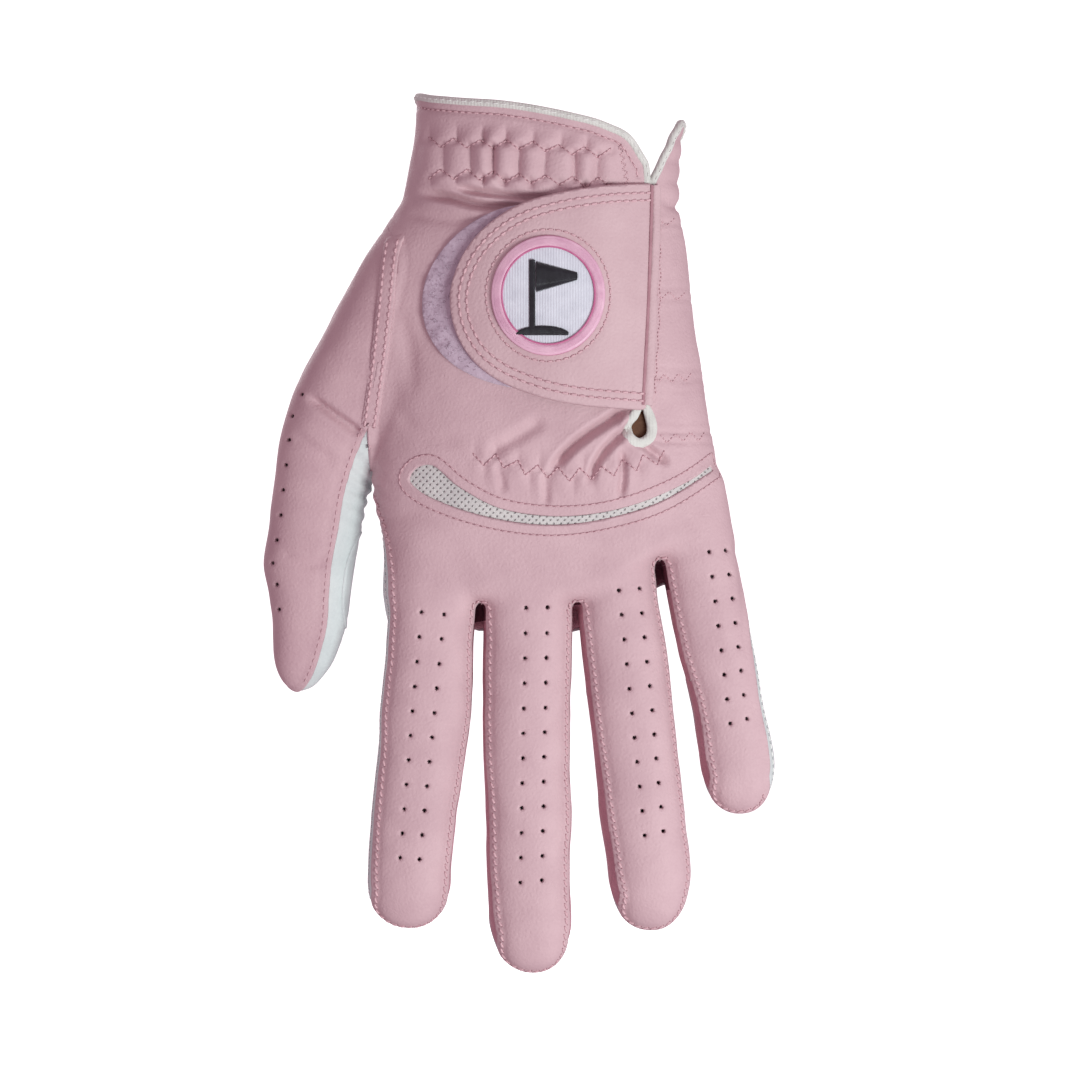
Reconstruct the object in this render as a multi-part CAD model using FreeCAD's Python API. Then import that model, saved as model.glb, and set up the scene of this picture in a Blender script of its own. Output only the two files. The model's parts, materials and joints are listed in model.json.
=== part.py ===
"""Left-hand golf glove, shaped as it sits on a hand, hanging with its fingers down.

+Z runs up the arm, +X from the thumb side to the little-finger side, and +Y from the back of
the hand to the palm. The origin is the centre of the hand opening. Millimetres throughout.
"""

import FreeCAD
import Part

import math
import os

from FreeCAD import Vector

# Leather and layer thicknesses, as heights above the outside of the hand leather.
LEATHER = 0.8
ELASTIC = 0.8
FACING = 0.5
LOOP_TOP = 1.2
HOOK_TOP = 2.2
TAB_LINING_TOP = 2.6
TAB_TOP = 3.3
BADGE_TOP = 3.9
BADGE_RING_TOP = 4.3
MOTIF_TOP = 4.4
BINDING_PROUD = 0.6
BINDING_WIDTH = 1.7

# Hand sections: height, thumb side, little-finger side, back, palm.
HAND_SECTIONS = [
    (8.0, -28.8, 30.2, -18.0, 18.0),
    (-14.0, -31.0, 28.4, -18.0, 18.0),
    (-30.0, -34.5, 29.2, -17.4, 19.4),
    (-50.0, -37.0, 31.8, -16.4, 19.6),
    (-70.0, -38.6, 35.0, -15.2, 18.0),
    (-88.0, -38.2, 39.6, -13.8, 15.6),
    (-100.0, -37.2, 41.0, -12.2, 13.4),
    (-116.0, -36.4, 42.0, -10.4, 12.0),
]
SECTION_POWER = 2.35
SECTION_POINTS = 28

# The cuff edge, as X and Z: high and sloping at the back, scooped at the palm.
CUFF_BACK = [(-34.0, 2.6), (34.0, -5.4)]
CUFF_PALM = [(-34.0, 2.6), (-24.0, -8.0), (-4.0, -19.0), (18.0, -20.5), (34.0, -5.4)]
CUFF_CEILING = 30.0

# Forks between the fingers, as X and Z, from the thumb side.
FORKS = [(-15.4, -110.4), (5.9, -110.4), (25.7, -100.0)]
SIDE_LIMIT = 60.0
LITTLE_SHOULDER_Z = -86.0

# Fingers: root X and Z, tip X and Z, root radius, tip radius, bend height.
FINGERS = {
    "index": (-24.6, -96.0, -31.2, -180.4, 10.3, 9.2, -134.0),
    "middle": (-4.7, -96.0, -4.7, -190.5, 10.2, 9.1, -138.0),
    "ring": (13.7, -96.0, 23.1, -180.6, 9.7, 9.2, -134.0),
    "little": (30.6, -90.0, 43.8, -156.0, 9.0, 8.1, -120.0),
}
FINGER_ROOT_Y = 0.6
FINGER_TIP_Y = 5.0
TIP_CORNER = 6.6
FOURCHETTE_SHARE = 0.62
BEND_MAX = 80.0

# Thumb centres and radii down its length; the last radii round off the tip.
THUMB_CENTRES = [
    (-25.0, 2.0, -31.0, 11.0),
    (-36.0, 4.0, -50.0, 13.0),
    (-47.4, 6.0, -72.0, 11.6),
    (-50.4, 7.5, -87.0, 11.0),
    (-52.6, 9.0, -98.0, 10.4),
    (-53.4, 11.0, -111.0, 8.7),
    (-54.4, 12.0, -118.5, 7.4),
    (-55.0, 12.6, -124.0, 5.6),
    (-55.4, 13.0, -127.4, 3.0),
    (-55.6, 13.2, -128.6, 0.9),
]
THUMB_BEND = (-52.4, -99.0)
THUMB_BEND_MAX = 55.0

# The knuckle fold crosses the hand on a slanting line, given by two X, Z points.
FOLD_LEFT = (-36.7, -103.0)
FOLD_RIGHT = (40.7, -90.0)
FOLD_DEPTH = 0.0
FOLD_MAX = 60.0
CREASE_CLEARANCE = 1.5
DORSAL_GAP = 0.15

# Closure tab and its loop patch: thumb-side end, hinge side, top, bottom.
TAB = (-20.9, 21.0, -18.6, -67.4)
LOOP_PATCH = (-27.3, 13.0, -25.4, -66.0)
HOOK_INSET = 3.5
TAB_ANCHOR = (22.6, 26.0, -18.6, -67.4)
BADGE_CENTRE = (0.7, -42.2)
BADGE_R = 11.2
BADGE_RING_R = 13.1

# Wrist slit: mouth half-open at the cuff, a narrow run under the tab, and a teardrop end.
SLIT_MOUTH = [(19.6, 12.0), (31.5, 12.0), (29.4, -5.0)]
SLIT_NECK = (21.8, -18.2)
SLIT_FOOT = (20.6, -66.5)
SLIT_HALF = 0.6
TEAR_CENTRE = (19.9, -71.6)
TEAR_R = 1.5

# Crescent mesh window over the knuckles: upper arc and lower arc, three points each.
VENT_UPPER = [(-28.0, -79.4), (5.5, -90.4), (38.2, -78.2)]
VENT_LOWER = [(-30.4, -84.0), (2.0, -92.8), (38.6, -80.0)]

# Reinforcing tape over the thumb seam.
TAPE = [(-33.6, -30.0), (-29.4, -30.0), (-33.0, -66.0), (-37.2, -66.0)]

# Elastic bands sewn inside: left, right, upper and lower edge.
CUFF_BANDS = [(-26.0, 16.0, -8.0, -12.0), (-26.0, 16.0, -15.0, -19.0)]
KNUCKLE_BAND = (-16.0, 30.0, -73.5, -78.5)
FLANK_BANDS = [(23.4, 29.6, z, z - 4.0) for z in (-26.0, -42.0, -58.0)]
FACING_PANEL = (-27.5, 17.5, -6.0, -21.0)
LABEL = (-7.0, 7.0, -25.0, -33.0)

FAR = 90.0
OUT = "parts"


def export(name, shape):
    """Write one node, as the separate closed solids of its shape."""
    solids = [s for s in shape.Solids if s.Volume > 0.05]
    assert solids, name
    for solid in solids:
        assert solid.isValid(), name
    whole = solids[0] if len(solids) == 1 else Part.makeCompound(solids)
    whole.exportStep(os.path.join(OUT, name + ".step"))
    print(f"{name:24s} solids {len(solids)} volume {sum(s.Volume for s in solids):9.1f}")


def fuse(shapes):
    first, rest = shapes[0], shapes[1:]
    return first.multiFuse(rest) if rest else first


def prism(points, near=-FAR, far=FAR):
    """A prism through the hand: a polygon of X, Z points, between two depths."""
    wire = Part.makePolygon([Vector(x, near, z) for x, z in points + points[:1]])
    return Part.Face(wire).extrude(Vector(0, far - near, 0))


def rectangle(left, right, top, bottom):
    return [(left, top), (right, top), (right, bottom), (left, bottom)]


def dome_outline(left, right, top, bottom, near=-FAR, far=0.0):
    """A prism whose thumb side is half an ellipse and whose other side is straight."""
    middle, half = (top + bottom) / 2, (top - bottom) / 2
    reach = min(half * 1.15, right - left)
    at = Vector(left + reach, near, middle)
    long_axis, short_axis = (reach, half) if reach >= half else (half, reach)
    towards = Vector(-1, 0, 0) if reach >= half else Vector(0, 0, 1)
    ellipse = Part.Ellipse(at, long_axis, short_axis)
    disc = Part.Face(Part.Wire(ellipse.toShape()))
    flat = FreeCAD.Rotation(Vector(0, 0, 1), Vector(0, -1, 0))
    disc.rotate(at, flat.Axis, math.degrees(flat.Angle))
    if towards.x == 0:
        disc.rotate(at, Vector(0, 1, 0), 90)
    cap = disc.extrude(Vector(0, far - near, 0))
    whole = cap.fuse(prism(rectangle(left + reach, right, top, bottom), near, far))
    return whole.common(prism(rectangle(left - 1, right, top + 1, bottom - 1), near, far))


def superellipse(section, grow):
    """One hand section as a closed smooth wire, grown outwards by a distance."""
    z, left, right, back, palm = section
    half_x, half_y = (right - left) / 2 + grow, (palm - back) / 2 + grow
    points = []
    for k in range(SECTION_POINTS):
        turn = 2 * math.pi * k / SECTION_POINTS
        c, s = math.cos(turn), math.sin(turn)
        x = math.copysign(abs(c) ** (2 / SECTION_POWER), c) * half_x
        y = math.copysign(abs(s) ** (2 / SECTION_POWER), s) * half_y
        points.append(Vector((left + right) / 2 + x, (back + palm) / 2 + y, z))
    curve = Part.BSplineCurve()
    curve.interpolate(Points=points, PeriodicFlag=True)
    return Part.Wire(curve.toShape())


def hand_form(grow):
    """The hand from cuff to finger forks as one solid, grown by a distance."""
    loft = Part.makeLoft([superellipse(s, grow) for s in HAND_SECTIONS], True, False)
    (x0, z0), (x1, z1), (x2, z2) = FORKS
    foot = [(-SIDE_LIMIT, z0 - grow), (x1, z1 - grow), (x2, z2 - grow)]
    foot += [(SIDE_LIMIT, LITTLE_SHOULDER_Z - grow)]
    return loft.common(prism([(-SIDE_LIMIT, 20.0)] + foot + [(SIDE_LIMIT, 20.0)]))


def layer(low, high):
    """The conforming layer between two heights above the hand leather."""
    return hand_form(high).cut(hand_form(low))


class Finger:
    """A finger's axis and frame: down along it, across the hand, and towards the palm."""

    def __init__(self, root_x, root_z, tip_x, tip_z, root_r, tip_r, bend_z):
        self.root = Vector(root_x, FINGER_ROOT_Y, root_z)
        self.tip = Vector(tip_x, FINGER_TIP_Y, tip_z)
        self.length = (self.tip - self.root).Length
        self.down = (self.tip - self.root).normalize()
        self.palmward = (Vector(0, 1, 0) - self.down * self.down.y).normalize()
        self.across = self.palmward.cross(self.down).normalize()
        self.root_r, self.tip_r = root_r, tip_r
        share = (bend_z - root_z) / (tip_z - root_z)
        self.bend = self.root + (self.tip - self.root) * share

    def form(self, grow):
        """A tapering round solid with a softly squared tip, grown by a distance."""
        root, tip = self.root_r + grow, self.tip_r + grow
        end, corner = self.length + grow, TIP_CORNER + grow
        shoulder = end - corner
        mid = corner * math.sqrt(0.5)
        sketch = [
            Part.LineSegment(Vector(0, 0, 0), Vector(root, 0, 0)),
            Part.LineSegment(Vector(root, 0, 0), Vector(tip, 0, shoulder)),
            Part.Arc(
                Vector(tip, 0, shoulder),
                Vector(tip - corner + mid, 0, shoulder + mid),
                Vector(tip - corner, 0, end),
            ),
            Part.LineSegment(Vector(tip - corner, 0, end), Vector(0, 0, end)),
            Part.LineSegment(Vector(0, 0, end), Vector(0, 0, 0)),
        ]
        face = Part.Face(Part.Wire([e.toShape() for e in sketch]))
        solid = face.revolve(Vector(0, 0, 0), Vector(0, 0, 1), 360)
        turn = FreeCAD.Rotation(Vector(0, 0, 1), self.down)
        solid.Placement = FreeCAD.Placement(self.root, turn)
        return solid

    def band(self, low, high, side=0):
        """A box along the finger between two depths from its axis, on one side or both."""
        left = 0.0 if side > 0 else -FAR
        right = 0.0 if side < 0 else FAR
        a, d, n = self.across, self.down, self.palmward
        corner = self.root + a * left + n * low - d * FAR
        face = Part.makePolygon(
            [
                corner,
                corner + a * (right - left),
                corner + a * (right - left) + n * (high - low),
                corner + n * (high - low),
                corner,
            ]
        )
        return Part.Face(face).extrude(d * (3 * FAR))


def sector(at, down, palmward, start, end):
    """A wedge about a hinge line: angles run from straight down towards the palm."""
    across = palmward.cross(down).normalize()
    steps = max(2, math.ceil((end - start) / 60))
    rim = []
    for k in range(steps + 1):
        turn = math.radians(start + (end - start) * k / steps)
        rim.append(at + (down * math.cos(turn) + palmward * math.sin(turn)) * 2 * FAR)
    start_face = Part.Face(Part.makePolygon([at] + rim + [at]))
    start_face.translate(across * -FAR)
    return start_face.extrude(across * (2 * FAR))


def joint_regions(at, down, palmward, reach):
    """What stays, what moves and what creases at a fold that closes by an angle."""
    half = reach / 2 + CREASE_CLEARANCE
    moved = sector(at + down * DORSAL_GAP, down, palmward, -90, 90 - half)
    kept = sector(at - down * DORSAL_GAP, down, palmward, 90 + half, 270)
    crease = sector(at, down, palmward, 90 - half, 90 + half)
    return kept, moved, crease


def thumb_form(grow):
    """The thumb as one solid of short cones along its bent centreline."""
    centres = [Vector(x, y, z) for x, y, z, _ in THUMB_CENTRES]
    rings = []
    for k, (x, y, z, radius) in enumerate(THUMB_CENTRES):
        ahead = centres[min(k + 1, len(centres) - 1)]
        behind = centres[max(k - 1, 0)]
        along = (ahead - behind).normalize()
        tip_share = max(0, k - 6) / 3
        at = centres[k] + along * (grow * tip_share)
        ring_r = max(0.4, radius + grow * (1 - 0.6 * tip_share))
        rings.append(Part.Wire(Part.makeCircle(ring_r, at, along)))
    return Part.makeLoft(rings, True, True)


def arc_wire_prism(upper, lower):
    """A prism between two arcs that run side by side."""
    def arc(points):
        return Part.Arc(*[Vector(x, -FAR, z) for x, z in points]).toShape()

    ends = [
        Part.makeLine(*[Vector(p[k][0], -FAR, p[k][1]) for p in (upper, lower)])
        for k in (0, 2)
    ]
    wire = Part.Wire(Part.sortEdges([arc(upper), arc(lower)] + ends)[0])
    return Part.Face(wire).extrude(Vector(0, FAR, 0))


def cuff_prism(drop):
    """Everything above the cuff edge, once that edge is lowered by a distance."""
    sides = []
    for edge, near, far in ((CUFF_BACK, -FAR, 0.0), (CUFF_PALM, 0.0, FAR)):
        lowered = [(x, z - drop) for x, z in edge]
        ceiling = [(edge[-1][0], CUFF_CEILING), (edge[0][0], CUFF_CEILING)]
        sides.append(prism(lowered + ceiling, near, far))
    return fuse(sides)


def slit_prism(grow):
    """The wrist slit with its open mouth and teardrop end, widened by a distance."""
    half = SLIT_HALF + grow
    (nx, nz), (fx, fz), (tx, tz) = SLIT_NECK, SLIT_FOOT, TEAR_CENTRE
    mouth = [
        (SLIT_MOUTH[0][0] - grow, SLIT_MOUTH[0][1]),
        (SLIT_MOUTH[1][0] + grow, SLIT_MOUTH[1][1]),
        (SLIT_MOUTH[2][0] + grow, SLIT_MOUTH[2][1]),
        (nx + half, nz),
        (nx - half, nz),
    ]
    run = [(nx - half, nz + 0.5), (nx + half, nz + 0.5), (fx + half, fz), (fx - half, fz)]
    tear_r = TEAR_R + grow
    tear = Part.makeCylinder(tear_r, FAR, Vector(tx, -FAR, tz), Vector(0, 1, 0))
    taper = [(fx - half, fz + 0.5), (fx + half, fz + 0.5), (tx + tear_r, tz), (tx - tear_r, tz)]
    sides = [prism(p, -FAR, 0.0) for p in (mouth, run, taper)]
    return fuse(sides + [tear])


def main():
    os.makedirs(OUT, exist_ok=True)
    fingers = {name: Finger(*row) for name, row in FINGERS.items()}
    names = list(fingers)

    # Forms with and without the leather's thickness.
    hand, hand_inside = hand_form(0), hand_form(-LEATHER)
    thumb, thumb_inside = thumb_form(0), thumb_form(-LEATHER)
    tubes = {n: f.form(0) for n, f in fingers.items()}
    hollows = {n: f.form(-LEATHER) for n, f in fingers.items()}
    above_cuff = cuff_prism(0)
    cuff_zone = cuff_prism(BINDING_WIDTH)
    slit = slit_prism(0)
    slit_zone = slit_prism(BINDING_WIDTH)
    vent = arc_wire_prism(VENT_UPPER, VENT_LOWER)
    back_side = Part.makeBox(4 * FAR, 2 * FAR, 4 * FAR, Vector(-2 * FAR, -2 * FAR, -3 * FAR))
    palm_side = Part.makeBox(4 * FAR, 2 * FAR, 4 * FAR, Vector(-2 * FAR, 0, -3 * FAR))

    # Where the hand folds at the knuckles.
    line = Vector(FOLD_RIGHT[0] - FOLD_LEFT[0], 0, FOLD_RIGHT[1] - FOLD_LEFT[1])
    fold_down = Vector(0, 1, 0).cross(line).normalize()
    if fold_down.z > 0:
        fold_down = fold_down * -1
    fold_at = Vector(FOLD_LEFT[0], FOLD_DEPTH, FOLD_LEFT[1]) + line * 0.5
    upper_zone, lower_zone, crease_zone = joint_regions(
        fold_at, fold_down, Vector(0, 1, 0), FOLD_MAX
    )

    # The whole leather shell of the hand with the near half of every finger.
    near_zone, far_zone, bend_zone = {}, {}, {}
    for n, f in fingers.items():
        near_zone[n], far_zone[n], bend_zone[n] = joint_regions(
            f.bend, f.down, f.palmward, BEND_MAX
        )
    stubs = [tubes[n].common(near_zone[n]) for n in names]
    shell = fuse([hand] + stubs).cut(fuse([hand_inside] + list(hollows.values())))
    shell = shell.cut(thumb).cut(above_cuff)

    # Side walls between two fingers, with the web that joins them at the fork.
    webs = {}
    for a, b in zip(names, names[1:]):
        fa, fb = fingers[a], fingers[b]
        top = max(fa.root.z, fb.root.z)
        reach_a = fa.root + fa.down * (fa.length * 0.7)
        reach_b = fb.root + fb.down * (fb.length * 0.7)
        fork_z = FORKS[names.index(a)][1]
        outline = [
            (fa.root.x + (fork_z - fa.root.z) * fa.down.x / fa.down.z, fork_z + 1.0),
            (fb.root.x + (fork_z - fb.root.z) * fb.down.x / fb.down.z, fork_z + 1.0),
            (reach_b.x, reach_b.z),
            (reach_a.x, reach_a.z),
        ]
        assert top > fork_z
        depth = FOURCHETTE_SHARE * fa.root_r
        webs[a, b] = prism(outline, fa.bend.y - depth, fa.bend.y + depth)
    all_webs = fuse(list(webs.values()))

    leather = shell.cut(slit_zone).cut(cuff_zone)
    backs = leather.common(back_side).cut(all_webs).cut(vent)
    palms = leather.common(palm_side).cut(all_webs)
    export("back_panel", backs.common(upper_zone).cut(thumb))
    export("knuckle_panel", backs.common(lower_zone).cut(thumb))
    export("palm_panel", palms.common(upper_zone).cut(thumb))
    export("finger_palm_panel", palms.common(lower_zone).cut(thumb))
    export("knuckle_crease", palms.common(crease_zone).cut(thumb))
    for (a, b), web in webs.items():
        export(f"fourchette_{a}_{b}", shell.common(web))
    export("mesh_vent", shell.common(back_side).common(vent).common(upper_zone))

    # Finger ends and their creases.
    for k, (n, f) in enumerate(fingers.items()):
        skin = tubes[n].cut(hollows[n])
        depth = FOURCHETTE_SHARE * f.root_r
        inner = []
        if k > 0:
            inner.append(f.band(-depth, depth, -1))
        if k < len(names) - 1:
            inner.append(f.band(-depth, depth, 1))
        sides = fuse(inner)
        back_half, palm_half = f.band(-FAR, 0), f.band(0, FAR)
        end = skin.common(far_zone[n])
        export(f"{n}_back", end.common(back_half).cut(sides))
        export(f"{n}_front", end.common(palm_half).cut(sides))
        export(f"{n}_fourchette", end.common(sides))
        export(f"{n}_crease", skin.common(bend_zone[n]))

    # Thumb, set into the hand.
    thumb_skin = thumb.cut(thumb_inside).cut(hand)
    bend_at = Vector(THUMB_BEND[0], 9.2, THUMB_BEND[1])
    down = Vector(-0.09, 0.14, -1).normalize()
    palmward = (Vector(0, 1, 0) - down * down.y).normalize()
    root_zone, tip_zone, thumb_crease = joint_regions(bend_at, down, palmward, THUMB_BEND_MAX)
    thumb_split = Part.makeBox(4 * FAR, 2 * FAR, 4 * FAR, Vector(-2 * FAR, -2 * FAR + 9, -3 * FAR))
    export("thumb_back", thumb_skin.common(root_zone).common(thumb_split))
    export("thumb_front", thumb_skin.common(root_zone).cut(thumb_split))
    export("thumb_tip_back", thumb_skin.common(tip_zone).common(thumb_split))
    export("thumb_tip_front", thumb_skin.common(tip_zone).cut(thumb_split))
    export("thumb_crease", thumb_skin.common(thumb_crease))

    # Trim on the back of the hand.
    edge = layer(-LEATHER - BINDING_PROUD, BINDING_PROUD)
    export("cuff_binding", edge.cut(above_cuff).common(cuff_zone).cut(slit_zone))
    slit_binding = edge.cut(above_cuff).common(back_side).common(slit_zone).cut(slit)
    export("slit_binding", slit_binding)
    tape = layer(0, 0.5).common(prism(TAPE, -FAR, 0)).cut(thumb)
    export("thumb_seam_tape", tape)
    patch = dome_outline(*LOOP_PATCH)
    export("loop_patch", layer(0, LOOP_TOP).common(patch))

    # Elastics and facing inside.
    inside = layer(-LEATHER - ELASTIC, -LEATHER).cut(slit_zone)

    def bands(rows):
        return fuse([prism(rectangle(*row), -FAR, 0) for row in rows])

    export("cuff_elastics", inside.common(bands(CUFF_BANDS)))
    export("knuckle_elastic", inside.common(bands([KNUCKLE_BAND])))
    export("flank_elastics", inside.common(bands(FLANK_BANDS)))
    lining = layer(-LEATHER - ELASTIC - FACING, -LEATHER - ELASTIC)
    export("cuff_facing", lining.common(bands([FACING_PANEL])).cut(slit_zone))
    label_layer = layer(-LEATHER - FACING, -LEATHER)
    export("size_label", label_layer.common(prism(rectangle(*LABEL), 0, FAR)))

    # Closure tab, laid over the loop patch.
    outline = dome_outline(*TAB)
    left, right, top, bottom = TAB
    hook = dome_outline(left + HOOK_INSET, LOOP_PATCH[1], top - HOOK_INSET, bottom + HOOK_INSET)
    anchor = layer(0, HOOK_TOP).common(prism(rectangle(*TAB_ANCHOR), -FAR, 0))
    export("tab_anchor", anchor.cut(slit_binding))
    export("tab_leather", layer(TAB_LINING_TOP, TAB_TOP).common(outline))
    export("tab_lining", layer(HOOK_TOP, TAB_LINING_TOP).common(outline))
    export("hook_patch", layer(LOOP_TOP, HOOK_TOP).common(hook).common(patch))
    bx, bz = BADGE_CENTRE
    disc = Part.makeCylinder(BADGE_R, FAR, Vector(bx, -FAR, bz), Vector(0, 1, 0))
    rim = Part.makeCylinder(BADGE_RING_R, FAR, Vector(bx, -FAR, bz), Vector(0, 1, 0))
    export("badge_disc", layer(TAB_TOP, BADGE_TOP).common(disc))
    export("badge_ring", layer(TAB_TOP, BADGE_RING_TOP).common(rim.cut(disc)))
    flag = fuse(
        [
            prism(rectangle(bx - 3.6, bx - 2.6, bz + 6.6, bz - 6.4), -FAR, 0),
            prism([(bx - 2.7, bz + 6.6), (bx + 5.4, bz + 3.2), (bx - 2.7, bz - 0.2)], -FAR, 0),
        ]
    )
    export("badge_motif", layer(BADGE_TOP, MOTIF_TOP).common(back_side).common(flag))


main()
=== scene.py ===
import json
import math

import bpy
import numpy as np
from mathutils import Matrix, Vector
from mathutils.bvhtree import BVHTree
from mathutils.kdtree import KDTree

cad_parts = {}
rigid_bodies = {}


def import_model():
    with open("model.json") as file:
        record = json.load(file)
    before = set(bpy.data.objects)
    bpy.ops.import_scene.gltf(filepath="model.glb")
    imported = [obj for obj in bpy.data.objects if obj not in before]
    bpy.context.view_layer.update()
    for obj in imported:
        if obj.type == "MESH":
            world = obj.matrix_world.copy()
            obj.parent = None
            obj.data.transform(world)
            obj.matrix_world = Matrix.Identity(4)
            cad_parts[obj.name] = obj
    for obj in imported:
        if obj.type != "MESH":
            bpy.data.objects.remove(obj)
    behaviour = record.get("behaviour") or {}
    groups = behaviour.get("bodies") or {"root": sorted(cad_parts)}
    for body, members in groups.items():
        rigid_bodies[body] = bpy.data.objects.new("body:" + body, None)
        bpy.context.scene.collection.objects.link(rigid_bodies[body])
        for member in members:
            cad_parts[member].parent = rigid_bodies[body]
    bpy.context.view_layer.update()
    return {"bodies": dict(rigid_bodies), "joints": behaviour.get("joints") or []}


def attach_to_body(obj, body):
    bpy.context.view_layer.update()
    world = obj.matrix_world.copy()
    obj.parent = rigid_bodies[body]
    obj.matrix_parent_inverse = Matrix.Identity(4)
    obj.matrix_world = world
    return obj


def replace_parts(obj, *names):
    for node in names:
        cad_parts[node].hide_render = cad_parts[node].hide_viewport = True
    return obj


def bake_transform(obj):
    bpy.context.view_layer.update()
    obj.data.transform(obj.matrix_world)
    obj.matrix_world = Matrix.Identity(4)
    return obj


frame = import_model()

# Lengths are millimetres in the row frame until a mesh is made: +Z up the arm, +X to the
# little-finger side, +Y to the palm, so the back of the hand faces -Y.
MM = 0.001
# The grid that the form is sampled on, and the leather's thickness.
GRID = 0.72
SKIN = 0.75
GRID_LOW, GRID_HIGH = np.array([-66.0, -22.5, -194.0]), np.array([53.0, 26.0, 8.0])

FINGERS = ("index", "middle", "ring", "little")

# Each limb: rows of (z, centre x, half width, centre y, half depth), then its end and tip.
LIMBS = {
    "index": dict(
        rows=[
            (-88.0, -24.4, 9.6, 0.2, 8.6),
            (-106.0, -25.8, 9.8, 0.9, 9.3),
            (-118.0, -26.5, 9.6, 1.6, 9.2),
            (-131.0, -27.2, 9.8, 2.2, 9.1),
            (-144.0, -28.5, 9.8, 3.0, 8.9),
            (-157.0, -30.3, 9.5, 3.8, 8.6),
            (-168.0, -31.1, 9.3, 4.4, 8.3),
            (-182.0, -31.2, 9.0, 5.2, 7.9),
        ],
        end=-181.0,
        tip=11.0,
    ),
    "middle": dict(
        rows=[
            (-88.0, -4.2, 9.6, 0.2, 8.6),
            (-106.0, -4.5, 9.8, 0.9, 9.4),
            (-118.0, -4.8, 9.8, 1.6, 9.3),
            (-144.0, -4.95, 9.5, 2.8, 9.0),
            (-157.0, -4.8, 9.3, 3.6, 8.6),
            (-170.0, -4.7, 9.15, 4.3, 8.3),
            (-191.0, -4.0, 9.0, 5.3, 7.9),
        ],
        end=-190.8,
        tip=12.5,
    ),
    "ring": dict(
        rows=[
            (-84.0, 13.2, 8.9, 0.2, 8.4),
            (-104.0, 14.6, 8.8, 0.9, 9.0),
            (-118.0, 15.9, 9.3, 1.8, 9.2),
            (-131.0, 17.5, 9.4, 2.4, 9.0),
            (-144.0, 19.0, 9.2, 3.1, 8.7),
            (-157.0, 20.3, 9.2, 3.8, 8.4),
            (-168.0, 21.6, 9.2, 4.4, 8.1),
            (-182.0, 22.0, 9.0, 5.2, 7.8),
        ],
        end=-181.6,
        tip=14.0,
    ),
    "little": dict(
        rows=[
            (-78.0, 28.8, 8.4, 0.4, 8.2),
            (-96.0, 31.8, 8.4, 0.9, 8.6),
            (-108.0, 33.9, 8.4, 1.6, 8.4),
            (-118.0, 36.2, 8.4, 2.2, 8.2),
            (-131.0, 39.1, 8.1, 3.0, 7.8),
            (-141.0, 40.8, 8.2, 3.7, 7.5),
            (-156.0, 42.2, 8.0, 4.8, 7.1),
        ],
        end=-155.8,
        tip=12.5,
    ),
    "thumb": dict(
        rows=[
            (-18.0, -17.0, 8.0, 2.0, 9.0),
            (-31.0, -26.2, 12.2, 2.5, 12.0),
            (-42.0, -32.0, 13.4, 3.5, 12.5),
            (-50.0, -36.4, 13.2, 4.5, 12.5),
            (-61.0, -43.2, 12.7, 5.5, 12.0),
            (-72.0, -47.2, 12.1, 6.6, 11.4),
            (-84.7, -50.7, 10.6, 8.2, 10.3),
            (-94.6, -52.4, 10.3, 9.2, 9.9),
            (-101.2, -53.5, 10.1, 9.7, 9.5),
            (-107.8, -53.5, 9.0, 10.4, 8.9),
            (-114.4, -53.6, 8.2, 11.0, 8.2),
            (-121.0, -54.6, 6.9, 11.8, 7.0),
            (-129.4, -56.0, 5.6, 12.6, 5.8),
        ],
        end=-129.3,
        tip=9.5,
    ),
}
# How square each limb's section is, and its tip.
LIMB_POWER = 2.35
TIP_POWER = 2.2

# The hand: z, thumb side, little-finger side, back, palm.
HAND = [
    (14.0, -29.2, 30.4, -17.6, 17.4),
    (0.0, -29.6, 29.6, -17.8, 17.8),
    (-8.4, -30.1, 28.9, -17.9, 18.2),
    (-17.0, -31.6, 28.3, -17.8, 18.6),
    (-24.0, -33.0, 28.9, -17.5, 19.0),
    (-32.0, -34.6, 30.1, -17.1, 19.4),
    (-42.0, -36.0, 31.3, -16.7, 19.6),
    (-55.0, -37.4, 32.8, -16.0, 19.3),
    (-65.0, -38.2, 34.2, -15.4, 18.6),
    (-75.0, -38.6, 36.3, -14.7, 17.4),
    (-85.0, -38.4, 37.7, -13.3, 16.0),
    (-95.0, -37.2, 38.9, -11.4, 14.2),
    (-105.0, -36.4, 40.0, -9.4, 12.8),
    (-118.0, -36.2, 41.6, -7.4, 12.0),
]
# How square the hand's outline is across: rounder at the wrist.
HAND_POWER = [(-95.0, 2.4), (-60.0, 2.25), (-35.0, 2.05), (0.0, 2.1)]
# Where the hand ends between the fingers, over x; it is lower on the palm side.
WEB = [(-42.0, -110.5), (-15.2, -108.8), (5.8, -108.8), (26.2, -98.6), (46.0, -95.0)]
WEB_PALM_DROP = 7.0

# Seams round the fingers: offsets in y from the finger's centre, on its thumb side and its
# little-finger side, of the edge of the back and the edge of the front.
SEAMS = {
    "index": ((-4.8, -4.8), (-3.6, 4.6)),
    "middle": ((-4.8, 2.6), (-3.6, 4.6)),
    "ring": ((-5.6, 2.6), (-2.6, 4.6)),
    "little": ((-5.0, 2.4), (-4.8, -4.8)),
}

# The same on the outside of the hand, where back and front meet: z and y down the thumb side
# and down the little-finger side. At a fingertip all seams meet a little behind its centre.
HAND_EDGES = (
    [(-120, -3.6), (-100, -3.4), (-84, 1.5), (0, 1.5)],
    [(-120, 1.0), (-80, 5.5), (0, 5.0)],
)
TIP_EDGE = -0.6

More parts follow.
